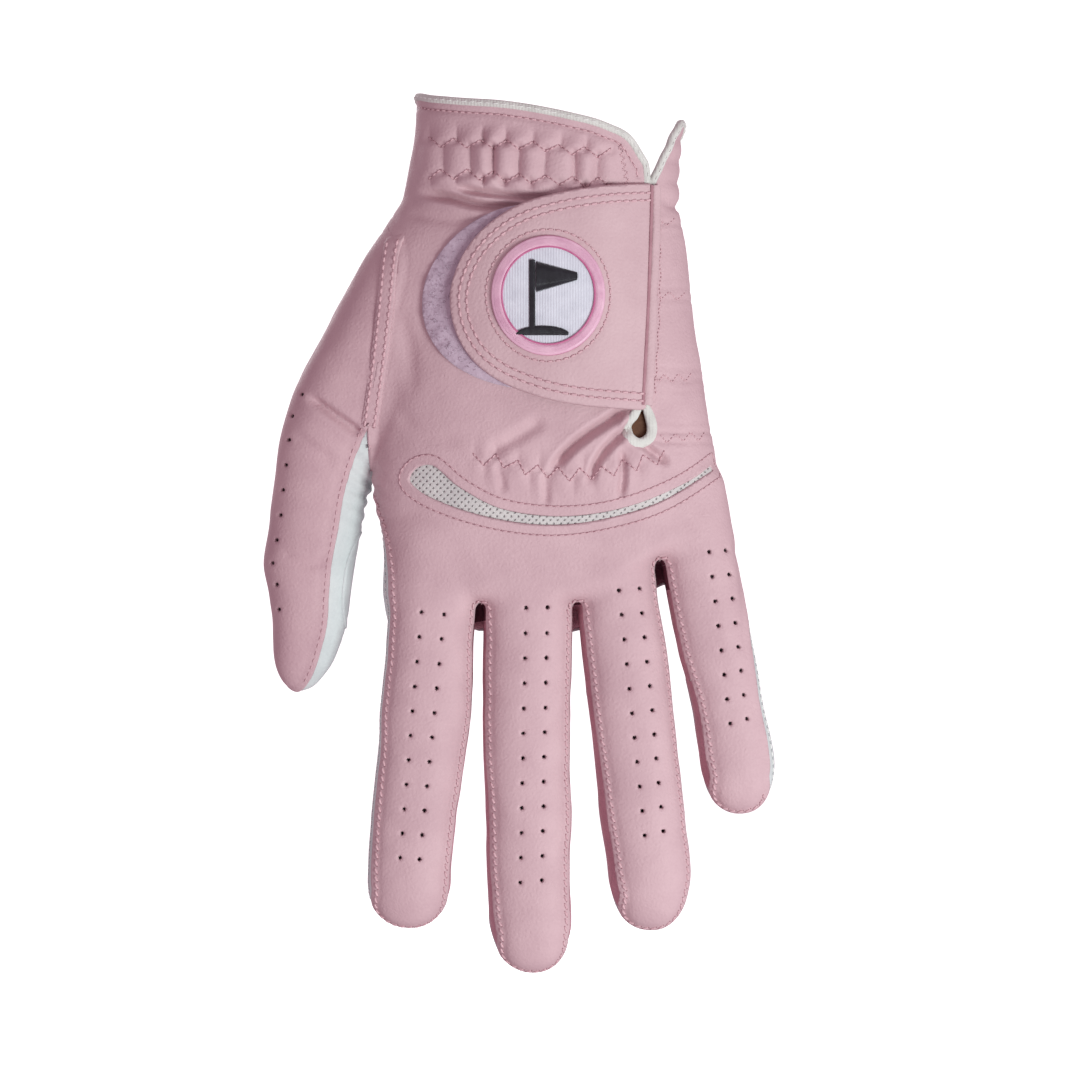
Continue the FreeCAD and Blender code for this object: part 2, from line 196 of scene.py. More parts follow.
# The cuff's edge over x: on the back as far as the slit, on the flank, and on the palm.
CUFF_BACK = [(-36.0, 2.2), (-29.3, 1.5), (-26.5, 0.6), (-22.0, -0.2), (-8.3, -1.7), (4.0, -4.0)]
CUFF_BACK += [(12.2, -6.2), (17.8, -9.4), (20.4, -13.5)]
CUFF_FLANK = [(28.6, -4.4), (36.0, -5.6)]
CUFF_PALM = [(-36.0, 2.6), (-29.5, 0.6), (-20.0, -9.0), (-4.0, -17.4), (14.0, -19.8)]
CUFF_PALM += [(24.0, -15.6), (29.5, -6.4), (36.0, -5.0)]

# The wrist slit with its teardrop end, as a closed outline in X and Z.
SLIT = [(19.5, 14.0), (19.9, -6.2), (21.2, -18.2), (20.8, -40.0), (19.5, -66.2), (18.3, -68.6)]
SLIT += [(16.9, -71.2), (17.0, -73.2), (18.6, -74.7), (20.5, -74.8), (22.1, -73.4), (22.5, -71.2)]
SLIT += [(21.7, -68.4), (20.5, -66.2), (21.7, -40.0), (22.1, -18.2), (28.6, -4.6), (30.5, 14.0)]

# The crescent of mesh over the knuckles.
VENT = [(-31.0, -82.6), (-29.4, -80.0), (-26.0, -79.2), (-19.8, -84.0), (-11.0, -88.6)]
VENT += [(2.2, -90.4), (15.4, -88.7), (28.6, -83.6), (37.0, -78.0), (42.0, -74.2)]
VENT += [(43.0, -75.6), (36.0, -80.4), (24.2, -87.6), (11.0, -91.6), (0.0, -92.7), (-11.0, -91.5)]
VENT += [(-22.0, -88.4), (-29.0, -85.0)]

# Where the thumb is set in: on the back of the hand, and on the palm.
TAPE_LINE = [(-18.0, -70.0), (-22.0, -46.0), (-25.0, -37.4), (-28.6, -34.8), (-49.5, -36.3)]
TAPE_LINE += [(-71.5, -39.8), (-84.0, -39.2), (-90.0, -39.3), (-140.0, -43.0)]
PALM_THUMB_LINE = [(-18.0, -70.0), (-22.0, -46.0), (-28.0, -33.0), (-38.0, -25.0), (-52.0, -20.0)]
PALM_THUMB_LINE += [(-66.0, -20.5), (-77.0, -26.0), (-84.0, -34.0), (-90.0, -39.3), (-140.0, -43.0)]

# Joint creases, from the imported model.
JOINTS = {j["name"]: j for j in frame["joints"]}


def joint_frame(name):
    """A hinge's point in millimetres and the way its moving side leaves it."""
    j = JOINTS[name]
    at = np.array(j["pos_m"], float) / MM
    down = np.cross([0.0, 1.0, 0.0], np.array(j["axis"], float))
    return at, down / np.linalg.norm(down)


FOLD_AT, FOLD_DOWN = joint_frame("knuckle_fold")
# How far either side of each hinge a bend would reach (its ends are worked out but not used),
# and how far past the knuckle fold the fingers become pieces of their own.
BEND_HALF = dict(knuckle=12.0, index=10.5, middle=10.5, ring=10.5, little=9.5, thumb=9.0)
FOLD_CUT = 14.0


# ---------------------------------------------------------------- numeric helpers

def hermite(at, knots, column=1):
    """A smooth curve through knots, read at many places; it is flat past both ends."""
    rows = np.array(sorted(knots), float)
    xs, ys = rows[:, 0], rows[:, column]
    slopes = np.gradient(ys, xs)
    i = np.clip(np.searchsorted(xs, at) - 1, 0, len(xs) - 2)
    h = xs[i + 1] - xs[i]
    t = np.clip((at - xs[i]) / h, 0, 1)
    a, b = ys[i], ys[i + 1]
    ma, mb = slopes[i] * h, slopes[i + 1] * h
    return (
        a * (2 * t**3 - 3 * t**2 + 1)
        + ma * (t**3 - 2 * t**2 + t)
        + b * (3 * t**2 - 2 * t**3)
        + mb * (t**3 - t**2)
    )


def smooth(edge0, edge1, x):
    """An eased step from 0 at one edge to 1 at the other."""
    t = np.clip((x - edge0) / (edge1 - edge0), 0, 1)
    return t * t * (3 - 2 * t)


def bell(d, width):
    """1 on a line, fading to nothing a few widths away."""
    return np.exp(-((d / width) ** 2))


def unit(v, floor=1e-9):
    return v / np.maximum(np.linalg.norm(v, axis=1, keepdims=True), floor)


def run_length(path):
    """How far along a path each of its points is."""
    return np.concatenate([[0], np.cumsum(np.linalg.norm(np.diff(path, axis=0), axis=1))])


def read_along(at, s, values):
    """Rows of values at places along a path whose own points are at s."""
    return np.stack([np.interp(at, s, values[:, k]) for k in range(values.shape[1])], 1)


def sideways(path):
    """The unit direction across a path in X and Z, at each of its points."""
    d = np.gradient(path, axis=0)
    return np.stack([-d[:, 1], d[:, 0]], 1) / np.linalg.norm(d, axis=1, keepdims=True)


def soft_min(a, b, k):
    """The smaller of two, with the join rounded over k."""
    h = np.clip(0.5 + 0.5 * (b - a) / k, 0, 1)
    return b * (1 - h) + a * h - k * h * (1 - h)


def soft_max(a, b, k):
    return -soft_min(-a, -b, k)


LATTICE_SIZE = 32
LATTICE = np.random.default_rng(7).random((LATTICE_SIZE,) * 3)


CORNERS = [(i, j, k) for i in (0, 1) for j in (0, 1) for k in (0, 1)]


def noise(p, size, shift=0.0):
    """Smooth value noise between -1 and 1 with features of one size."""
    q = p / size + shift
    base = np.floor(q).astype(int)
    f = q - base
    f = f * f * (3 - 2 * f)
    total = 0
    for corner in CORNERS:
        share = 1
        for k in range(3):
            share = share * (f[:, k] if corner[k] else 1 - f[:, k])
        total = total + share * LATTICE[tuple(((base + corner) % LATTICE_SIZE).T)]
    return total * 2 - 1


def rounded_path(points, step=0.6, closed=False):
    """Points every step along a smooth curve through a few corners."""
    p = np.array(points, float)
    if closed:
        p = np.vstack([p[-2:], p, p[:3]])
    gaps = np.sqrt(np.linalg.norm(np.diff(p, axis=0), axis=1))
    t = np.concatenate([[0], np.cumsum(gaps)])
    first, last = (t[2], t[-3]) if closed else (t[0], t[-1])
    fine = np.linspace(first, last, 600)
    curve = np.stack([hermite(fine, list(zip(t, p[:, k]))) for k in range(p.shape[1])], 1)
    return even(curve, step)


def even(path, step):
    """The same path with points at an even step."""
    s = run_length(path)
    return read_along(np.linspace(0, s[-1], max(2, int(round(s[-1] / step)) + 1)), s, path)


def outline_distance(x, z, outline):
    """Signed distance to a closed outline in X and Z, negative inside."""
    a = np.asarray(outline, float)
    b = np.roll(a, -1, axis=0)
    best = np.full(x.shape, 1e9)
    inside = np.zeros(x.shape, bool)
    for (ax, az), (bx, bz) in zip(a, b):
        ex, ez = bx - ax, bz - az
        t = np.clip(((x - ax) * ex + (z - az) * ez) / (ex * ex + ez * ez + 1e-12), 0, 1)
        best = np.minimum(best, (x - ax - t * ex) ** 2 + (z - az - t * ez) ** 2)
        if az != bz:
            crosses = (az > z) != (bz > z)
            inside ^= crosses & (x < ex * (z - az) / ez + ax)
    return np.where(inside, -1, 1) * np.sqrt(best)


def line_distance(x, z, path):
    """Distance to an open path in X and Z, and how far along it the nearest point is."""
    a = np.asarray(path, float)
    best, along, run = np.full(x.shape, 1e9), np.zeros(x.shape), 0.0
    for (ax, az), (bx, bz) in zip(a, a[1:]):
        ex, ez = bx - ax, bz - az
        length = math.hypot(ex, ez)
        t = np.clip(((x - ax) * ex + (z - az) * ez) / (length * length), 0, 1)
        d = (x - ax - t * ex) ** 2 + (z - az - t * ez) ** 2
        along = np.where(d < best, run + t * length, along)
        best = np.minimum(best, d)
        run += length
    return np.sqrt(best), along, run


# ---------------------------------------------------------------- the hand's form

def limb_field(p, name):
    """Below zero inside a finger or the thumb."""
    limb = LIMBS[name]
    x, y, z = p[:, 0], p[:, 1], p[:, 2]
    cx, hw = hermite(z, limb["rows"], 1), hermite(z, limb["rows"], 2)
    cy, hd = hermite(z, limb["rows"], 3), hermite(z, limb["rows"], 4)
    u, v = np.abs(x - cx) / hw, np.abs(y - cy) / hd
    ring = (u**LIMB_POWER + v**LIMB_POWER) ** (1 / LIMB_POWER)
    start = limb["rows"][0][0] - 6.0
    q = np.maximum(0, limb["end"] + limb["tip"] - z) / limb["tip"]
    q = q + np.maximum(0, z - start) / 6.0
    return ((ring**TIP_POWER + q**TIP_POWER) ** (1 / TIP_POWER) - 1) * np.minimum(hw, hd)


def palm_field(p):
    """Below zero inside the hand from cuff to finger webs."""
    x, y, z = p[:, 0], p[:, 1], p[:, 2]
    left, right = hermite(z, HAND, 1), hermite(z, HAND, 2)
    back, palm = hermite(z, HAND, 3), hermite(z, HAND, 4)
    hx, hy = (right - left) / 2, (palm - back) / 2
    u, v = np.abs(x - (left + right) / 2) / hx, np.abs(y - (back + palm) / 2) / hy
    power = hermite(z, HAND_POWER)
    ring = ((u**power + v**power) ** (1 / power) - 1) * np.minimum(hx, hy)
    end = hermite(x, WEB) - WEB_PALM_DROP * smooth(0, 9, y) - z
    return soft_max(ring, end, 4.0)


def form(p):
    """Below zero inside the gloved hand."""
    fingers = np.min([limb_field(p, n) for n in FINGERS], axis=0)
    whole = soft_min(palm_field(p), fingers, 2.4)
    return soft_min(whole, limb_field(p, "thumb"), 2.4 + 3.6 * smooth(-82.0, -64.0, p[:, 2]))


def gradient(p, h=0.05):
    """The form's slope at many points."""
    g = np.empty_like(p)
    for k in range(3):
        step = np.zeros(3)
        step[k] = h
        g[:, k] = (form(p + step) - form(p - step)) / (2 * h)
    return g


def outward(p):
    return unit(gradient(p))


def onto_form(p, times=3):
    """Points moved onto the form's surface."""
    for _ in range(times):
        g = gradient(p)
        f = form(p)
        p = p - g * np.clip(f / np.maximum((g * g).sum(1), 1e-6), -2, 2)[:, None]
    return p


def cell_vertices(f, cells):
    """One vertex in each crossed cell: the mean of where the surface cuts the cell's edges."""
    total, count = np.zeros((len(cells), 3)), np.zeros((len(cells), 1))
    for a in CORNERS:
        for k in range(3):
            if a[k]:
                continue
            b = tuple(v + (n == k) for n, v in enumerate(a))
            fa, fb = f[tuple((cells + a).T)], f[tuple((cells + b).T)]
            cross = (fa < 0) != (fb < 0)
            t = np.where(cross, fa / np.where(cross, fa - fb, 1), 0)
            at = cells + np.array(a) + t[:, None] * (np.array(b) - a)
            total += np.where(cross[:, None], at, 0)
            count += cross[:, None]
    return GRID_LOW + total / count * GRID


def crossing_quads(f, ids, k):
    """A quad round each grid edge along axis k that crosses the surface, facing outwards."""
    u, w = (k + 1) % 3, (k + 2) % 3
    low = [slice(1, s - 1) for s in f.shape]
    low[k] = slice(0, f.shape[k] - 1)
    high = list(low)
    high[k] = slice(1, f.shape[k])
    a, b = f[tuple(low)] < 0, f[tuple(high)] < 0
    at = np.argwhere(a != b)
    base = at + np.array([0 if n == k else 1 for n in range(3)])
    ring = []
    for du, dw in ((1, 1), (0, 1), (0, 0), (1, 0)):
        cell = base.copy()
        cell[:, u] -= du
        cell[:, w] -= dw
        ring.append(ids[tuple(cell.T)])
    ring = np.stack(ring, 1)
    return np.where(a[tuple(at.T)][:, None], ring, ring[:, ::-1])


def surface_net():
    """The form's surface as quads, one vertex in each grid cell that it crosses."""
    axes = [np.arange(GRID_LOW[k], GRID_HIGH[k], GRID) for k in range(3)]
    shape = tuple(len(a) for a in axes)
    grid = np.stack(np.meshgrid(*axes, indexing="ij"), -1).reshape(-1, 3)
    f = np.concatenate([form(c) for c in np.array_split(grid, 24)]).reshape(shape)

    def shifted(c):
        return tuple(slice(c[k], shape[k] - 1 + c[k]) for k in range(3))

    below = sum((f[shifted(c)] < 0).astype(np.int8) for c in CORNERS)
    cells = np.argwhere((below > 0) & (below < len(CORNERS)))
    ids = np.full([s - 1 for s in shape], -1)
    ids[tuple(cells.T)] = np.arange(len(cells))
    return cell_vertices(f, cells), np.concatenate([crossing_quads(f, ids, k) for k in range(3)])


def relax(verts, quads, times):
    """Evens out the vertex spacing without leaving the surface."""
    pairs = np.vstack([quads[:, [k, (k + 1) % 4]] for k in range(4)])
    pairs = np.vstack([pairs, pairs[:, ::-1]])
    degree = np.bincount(pairs[:, 0], minlength=len(verts))[:, None]
    for _ in range(times):
        mean = np.stack(
            [np.bincount(pairs[:, 0], verts[pairs[:, 1], k], len(verts)) for k in range(3)], 1
        ) / np.maximum(degree, 1)
        verts = onto_form(verts * 0.45 + mean * 0.55, 1)
    return onto_form(verts, 2)


def triangles_of(verts, quads):
    """Each quad cut along its shorter diagonal."""
    a, b, c, d = (verts[quads[:, k]] for k in range(4))
    first = np.linalg.norm(a - c, axis=1) <= np.linalg.norm(b - d, axis=1)
    ac, bd = quads[first], quads[~first]
    halves = [ac[:, [0, 1, 2]], ac[:, [0, 2, 3]], bd[:, [0, 1, 3]], bd[:, [1, 2, 3]]]
    return np.vstack(halves)


# ---------------------------------------------------------------- sheets and cutting

def gathered(corners, vectors, count):
    """The sum at each vertex of the vectors of the faces or edges that meet there."""
    total = np.zeros((count, 3))
    for k in range(corners.shape[1]):
        for c in range(3):
            total[:, c] += np.bincount(corners[:, k], vectors[:, c], count)
    return total


class Sheet:
    """An open triangle mesh with a rest position, a normal and an edge tag at each vertex."""

    def __init__(self, p, t, rest=None, n=None, tag=None):
        self.p, self.t = p, t
        self.rest = p.copy() if rest is None else rest
        self.n = n if n is not None else np.zeros_like(p)
        self.tag = np.zeros(len(p), int) if tag is None else tag

    def packed(self):
        """Only the vertices that a face uses."""
        used = np.unique(self.t)
        new = np.full(len(self.p), -1)
        new[used] = np.arange(len(used))
        parts = (self.rest[used], self.n[used], self.tag[used])
        return Sheet(self.p[used], new[self.t], *parts)

    def set_normals(self):
        a, b, c = (self.p[self.t[:, k]] for k in range(3))
        self.n = unit(gathered(self.t, np.cross(b - a, c - a), len(self.p)), 1e-12)

    def push(self, heights):
        """Moves each vertex along its normal."""
        self.p = self.p + self.n * np.reshape(heights, (-1, 1))

    def edges(self):
        """Each boundary edge once, in its face's direction."""
        e = np.vstack([self.t[:, [0, 1]], self.t[:, [1, 2]], self.t[:, [2, 0]]])
        key = np.sort(e, 1)
        code = key[:, 0] * len(self.p) + key[:, 1]
        _, first, count = np.unique(code, return_index=True, return_counts=True)
        return e[first[count == 1]]


def turned(t, odd):
    """Triangles turned so that the odd corner comes first."""
    return np.stack([t[np.arange(len(t)), (odd + k) % 3] for k in range(3)], 1)


def cut(sheet, g, tag=0):
    """The part of a sheet where g is below zero; new edge vertices get the tag."""
    g = np.where(np.abs(g) < 1e-7, -1e-7, g)
    inside = g < 0
    t = sheet.t
    count = inside[t].sum(1)
    whole = t[count == 3]
    edges = []
    for wanted, flag in ((1, True), (2, False)):
        tri = t[count == wanted]
        edges.append(turned(tri, np.argmax(inside[tri] == flag, axis=1)))
    pairs = np.vstack([e[:, [0, k]] for e in edges for k in (1, 2)])
    if not len(pairs):
        return Sheet(sheet.p, whole, sheet.rest, sheet.n, sheet.tag).packed()
    key = np.sort(pairs, 1)
    code, back = np.unique(key[:, 0] * len(g) + key[:, 1], return_inverse=True)
    i, j = code // len(g), code % len(g)
    s = (g[i] / (g[i] - g[j]))[:, None]
    values = (sheet.p, sheet.rest, sheet.n)
    p, rest, n = (np.vstack([a, a[i] * (1 - s) + a[j] * s]) for a in values)
    new_tag = np.where(sheet.tag[i] == sheet.tag[j], sheet.tag[i], 0)
    tags = np.concatenate([sheet.tag, np.full(len(code), tag) if tag else new_tag])
    back = back.reshape(-1) + len(g)
    one, two = edges
    k1, k2 = len(one), len(two)
    ab, ac = back[:k1], back[k1 : 2 * k1]
    parts = [whole, np.stack([one[:, 0], ab, ac], 1)]
    ab, ac = back[2 * k1 : 2 * k1 + k2], back[2 * k1 + k2 :]
    parts += [np.stack([ab, two[:, 1], two[:, 2]], 1), np.stack([ab, two[:, 2], ac], 1)]
    return Sheet(p, np.vstack(parts), rest, n, tags).packed()


def distances(points, targets):
    """Distance from each point to the nearest target."""
    tree = KDTree(len(targets))
    for k, q in enumerate(targets):
        tree.insert(q, k)
    tree.balance()
    return np.array([tree.find(q)[2] for q in points])


def split_triangles(t, mid):
    """Triangles split at the middles of some edges; mid is -1 where an edge stays whole."""
    split = mid >= 0
    count = split.sum(1)
    out = [t[count == 0]]
    q, m = t[count == 3], mid[count == 3]
    for a, b, c in ((q[:, 0], m[:, 0], m[:, 2]), (m[:, 0], q[:, 1], m[:, 1])):
        out.append(np.stack([a, b, c], 1))
    out += [np.stack([m[:, 2], m[:, 1], q[:, 2]], 1), m]
    for wanted, flag in ((1, True), (2, False)):
        odd = np.argmax(split[count == wanted] == flag, axis=1)
        v, w = turned(t[count == wanted], odd).T, turned(mid[count == wanted], odd).T
        if flag:
            faces = ((v[0], w[0], v[2]), (w[0], v[1], v[2]))
        else:
            faces = ((v[2], w[2], w[1]), (v[0], v[1], w[1]), (v[0], w[1], w[2]))
        out += [np.stack(face, 1) for face in faces]
    return np.vstack(out)


def refine(sheet, near):
    """Splits every edge whose middle is near something, keeping the mesh whole."""
    t = sheet.t
    e = np.sort(np.vstack([t[:, [0, 1]], t[:, [1, 2]], t[:, [2, 0]]]), 1)
    code, back = np.unique(e[:, 0] * len(sheet.p) + e[:, 1], return_inverse=True)
    i, j = code // len(sheet.p), code % len(sheet.p)
    marked = near((sheet.rest[i] + sheet.rest[j]) / 2)
    new = np.full(len(code), -1)
    new[marked] = np.arange(marked.sum()) + len(sheet.p)
    a, b = i[marked], j[marked]
    p, rest, n = (np.vstack([v, (v[a] + v[b]) / 2]) for v in (sheet.p, sheet.rest, sheet.n))
    tag = np.concatenate([sheet.tag, np.where(sheet.tag[a] == sheet.tag[b], sheet.tag[a], 0)])
    return Sheet(p, split_triangles(t, new[back.reshape(-1).reshape(3, -1).T]), rest, n, tag)


# ---------------------------------------------------------------- where the panels meet

def finger_places(p):
    """For each point: x of each finger's centre line, and y of it."""
    z = p[:, 2]
    cx = np.stack([hermite(z, LIMBS[n]["rows"], 1) for n in FINGERS])
    cy = np.stack([hermite(z, LIMBS[n]["rows"], 3) for n in FINGERS])
    return cx, cy


def side_share(x, cx, k, side):
    """How much one side of one finger counts at each x: 1 on it, 0 away from it."""
    if (k, side) == (0, 0):
        return np.where(x < cx[0], 1.0, 0.0)
    if (k, side) == (3, 1):
        return np.where(x >= cx[3], 1.0, 0.0)
    other = k - 1 if side == 0 else k + 1
    past = smooth(-1.5, 1.5, x - (cx[k] + cx[other]) / 2)
    return past * (x < cx[k]) if side == 0 else (1 - past) * (x >= cx[k])


def seam_heights(p):
    """y of the back panel's edge and of the front panel's edge, over X and Z."""
    x, z = p[:, 0], p[:, 2]
    cx, cy = finger_places(p)
    edge_back, edge_front = np.zeros(len(p)), np.zeros(len(p))
    outer = [hermite(z, rows) for rows in HAND_EDGES]
    into_finger = smooth(-92, -126, z)
    for k, name in enumerate(FINGERS):
        tip = smooth(LIMBS[name]["end"] + 9.0, LIMBS[name]["end"] + 1.5, z)
        for side in (0, 1):
            back, front = SEAMS[name][side]
            b = cy[k] + back + (TIP_EDGE - back) * tip
            f = cy[k] + front + (TIP_EDGE - front) * tip + 3.6 * smooth(-126.0, -114.0, z)
            if (k, side) in ((0, 0), (3, 1)):
                b = f = outer[side] + (b - outer[side]) * into_finger
            share = side_share(x, cx, k, side)
            edge_back += share * b
            edge_front += share * f
    hand = np.where(x < 0, *outer)
    above = smooth(-97.0, -93.0, z)
    return edge_back + (hand - edge_back) * above, edge_front + (hand - edge_front) * above


def thumb_line(p):
    """Below zero on the thumb's side of the seam that sets the thumb into the hand."""
    x, y, z = p[:, 0], p[:, 1], p[:, 2]
    on_palm = smooth(0.0, 3.0, y)
    back, palm = hermite(z, TAPE_LINE), hermite(z, PALM_THUMB_LINE)
    return x - (back + (palm - back) * on_palm)


def thumb_side(p):
    """Above zero on the white inner side of the thumb."""
    rows = LIMBS["thumb"]["rows"]
    x, y, z = p[:, 0], p[:, 1], p[:, 2]
    u = (x - hermite(z, rows, 1)) / hermite(z, rows, 2)
    v = (y - hermite(z, rows, 3)) / hermite(z, rows, 4)
    reach = hermite(z, rows, 2)
    high = smooth(-72.0, -50.0, z)
    return (0.82 * u + 0.57 * v + 0.1) * (1 - high) * reach + high * (y - 4.0)


def cuff_height(p):
    """How far a point is above the cuff edge."""
    x, y, z = p[:, 0], p[:, 1], p[:, 2]
    back = hermite(x, CUFF_BACK + CUFF_FLANK)
    palm = hermite(x, CUFF_PALM)
    return z - (back + (palm - back) * smooth(-1.0, 5.0, y))


SLIT_PATH = np.array(SLIT)
VENT_PATH = rounded_path(VENT, 0.8, closed=True)


def slit_field(p):
    """Below zero inside the slit, which is in the back only."""
    d = outline_distance(p[:, 0], p[:, 2], SLIT_PATH)
    return np.where(p[:, 1] < 0, d, 20.0)


def vent_field(p):
    """Below zero inside the crescent, which ends on the flank."""
    return np.maximum(outline_distance(p[:, 0], p[:, 2], VENT_PATH), p[:, 1] + 4.5)


def fold_field(p):
    """Above zero where the fingers are pieces of their own."""
    return (p - FOLD_AT) @ FOLD_DOWN - FOLD_CUT


# ---------------------------------------------------------------- wrinkles and puckers

# The rows of elastic stitching, in X and Z, with the pitch of each zigzag.
CUFF_ROWS = [
    [(-26.6, -9.0), (-15.0, -9.9), (-3.7, -10.5), (6.0, -11.5), (13.3, -11.9)],
    [(-26.6, -16.1), (-15.0, -16.7), (-5.0, -17.6), (5.0, -18.2), (13.3, -18.4)],
]
CUFF_PERIOD = 5.7
CUFF_HALF = 1.05
KNUCKLE_ROW = [(-16.7, -78.3), (-11.5, -78.3), (-5.0, -80.4), (1.0, -81.3), (8.0, -81.5)]
KNUCKLE_ROW += [(14.0, -80.2), (20.0, -78.7), (25.2, -77.6)]
KNUCKLE_PERIOD = 4.8
FLANK_ROWS = [
    [(23.6, -26.4), (27.4, -26.1)],
    [(22.6, -42.4), (29.4, -42.4)],
    [(22.0, -60.6), (31.0, -60.2)],
    [(24.0, -73.6), (34.0, -73.0)],
]
# How far the topstitching is from the cuff's edge, and the middle of the slit's teardrop.
TOPSTITCH = 2.3
EYELET = (20.0, -71.2)

# Folds: path in X and Z, half width, depth of the groove.
FOLDS = [
    ([(-29.6, -19.6), (-22.0, -21.3), (-15.4, -23.1), (-3.0, -23.6)], 1.25, 2.1),
    ([(-22.0, -19.0), (-13.0, -20.7), (2.0, -22.1)], 1.05, 1.8),
    ([(-33.0, -23.5), (-24.0, -26.0), (-14.0, -27.0)], 1.8, 0.5),
    ([(-0.6, -69.2), (-8.3, -74.0), (-14.5, -77.6)], 2.0, 0.8),
    ([(19.4, -65.4), (5.1, -75.2), (-1.4, -82.6)], 1.35, 2.2),
    ([(20.0, -69.0), (11.4, -76.8), (7.6, -84.6)], 1.2, 1.9),
    ([(15.4, -75.5), (15.9, -81.0), (15.2, -87.5)], 1.1, 1.2),
    ([(19.5, -74.6), (26.6, -79.4)], 1.2, 1.2),
    ([(-11.4, -78.5), (-10.0, -86.0)], 1.2, 0.6),
    ([(-1.1, -80.5), (-0.8, -89.0)], 1.1, 0.6),
    ([(-54.0, -63.8), (-50.2, -66.3), (-46.0, -69.3), (-39.6, -74.0)], 1.25, 1.5),
    ([(-57.0, -72.0), (-51.0, -76.0), (-46.0, -79.5)], 1.8, 0.4),
    ([(-33.0, -45.0), (-30.5, -56.0), (-30.0, -66.0)], 2.2, 0.4),
    ([(-34.0, -68.0), (-27.0, -73.0), (-18.0, -75.0)], 2.0, 0.4),
    ([(-60.0, -98.0), (-54.0, -101.0), (-47.5, -100.0)], 1.5, 0.35),
]

PALM_FOLDS = [
    ([(-22.0, -78.0), (-6.0, -84.0), (14.0, -82.0), (30.0, -76.0)], 2.0, 0.9),
    ([(-30.0, -92.0), (-12.0, -93.0), (8.0, -90.0), (26.0, -84.0)], 1.8, 0.7),
    ([(-16.0, -46.0), (-10.0, -62.0), (-14.0, -78.0)], 2.2, 0.9),
    ([(4.0, -36.0), (8.0, -50.0), (4.0, -64.0)], 2.0, 0.4),
]


def groove(x, z, path, half, depth):
    """A soft valley along a path with low ridges beside it, fading out at both ends."""
    d, along, run = line_distance(x, z, rounded_path(path, 1.5))
    fade = smooth(0, run * 0.22, along) * smooth(run, run * 0.72, along)
    q = d / half
    return -depth * (1.25 - 0.9 * q * q) * np.exp(-q * q) * fade


def cuff_gathers(p, x, z, wobble):
    """Puffs between the two cuff rows, and others between those above and below them."""
    upper, lower = hermite(x, CUFF_ROWS[0]), hermite(x, CUFF_ROWS[1])
    turn = math.pi * (x - CUFF_ROWS[0][0][0] + 0.8 * wobble) / CUFF_PERIOD
    between, beyond = np.abs(np.cos(turn)), np.abs(np.sin(turn))
    inner = smooth(upper + 0.9, upper - 0.9, z) * smooth(lower - 0.9, lower + 0.9, z)
    wave = (beyond + (between - beyond) * inner) ** 0.8
    span = smooth(-30.0, -26.0, x) * smooth(16.0, 11.5, x)
    reach = smooth(upper + 5.2, upper + 0.6, z) ** 1.3 * smooth(lower - 3.2, lower - 1.0, z)
    reach *= 1.0 + 0.5 * noise(p * (1, 0, 0.2), 6.5, 8.0)
    rows = bell(z - upper, 1.0) + bell(z - lower, 1.0)
    return span * reach * (1.8 * wave - 0.9 - 0.4 * rows)


def knuckle_gathers(x, z, wobble):
    """Puffs above and below the knuckle row, staggered."""
    row = hermite(x, KNUCKLE_ROW)
    span = smooth(-19.0, -14.0, x) * smooth(27.0, 22.0, x)
    turn = math.pi * (x - KNUCKLE_ROW[0][0] + 0.4 * wobble) / KNUCKLE_PERIOD
    wave = np.where(z < row, np.abs(np.cos(turn)), np.abs(np.sin(turn)))
    near = bell(z - row, 3.4) * (1 - 0.6 * bell(z - row, 0.8))
    return span * near * (0.75 * wave - 0.45)


def flank_gathers(x, z, back, wobble):
    """Ripples along the flank's short elastics, along its cuff, and a dent at the cuff's foot."""
    for path in FLANK_ROWS:
        near = bell(line_distance(x, z, path)[0], 2.6)
        wave = np.abs(np.sin(math.pi * (z / 2.4 + 0.5 * wobble)))
        yield np.where(back | (x > 26), near * (0.35 * wave - 0.35), 0)
    edge = smooth(23.0, 27.0, x) * smooth(-25.5, -21.5, z)
    yield edge * (0.5 * np.abs(np.sin(math.pi * (z / 4.3 + 0.3 * wobble))) - 0.35)
    yield -smooth(24.0, 28.0, x) * 1.1 * bell(z + 22.6, 0.9)


def puckers(p):
    """Puffs of leather gathered between the rows of elastic, and a swell round the eyelet."""
    x, z = p[:, 0], p[:, 2]
    back = p[:, 1] < 0
    wobble = noise(p * (1, 0, 0.25), 5.0, 3.1)
    gathers = (cuff_gathers(p, x, z, wobble), knuckle_gathers(x, z, wobble))
    terms = [np.where(back, g, 0) for g in gathers]
    terms += flank_gathers(x, z, back, wobble)
    ring = np.hypot(x - EYELET[0], (z - EYELET[1]) / 1.15)
    terms.append(np.where(back, 0.6 * bell(ring - 4.5, 0.8) * smooth(24.0, 19.0, x), 0))
    return sum(terms)


# Creases across a finger's palm side: how far past the hinge, and how deep.
CREASES = ((-3.2, 0.4), (0.4, 0.55), (3.8, 0.35))


def finger_creases(p, n):
    """Creases inside each finger's bend, and a swell outside it."""
    wobble = 0.8 * noise(p, 5.0, 2.0)
    for name in FINGERS:
        at, down = joint_frame(f"{name}_bend")
        s = (p - at) @ down
        own = limb_field(p, name) < 1.5
        lines = sum(depth * bell(s - c + wobble, 0.9) for c, depth in CREASES)
        yield -np.where(own & (n[:, 1] > 0.1), lines, 0)
        yield np.where(own, 0.35 * (bell(s, 8.0) * np.maximum(0, -n[:, 1])), 0)


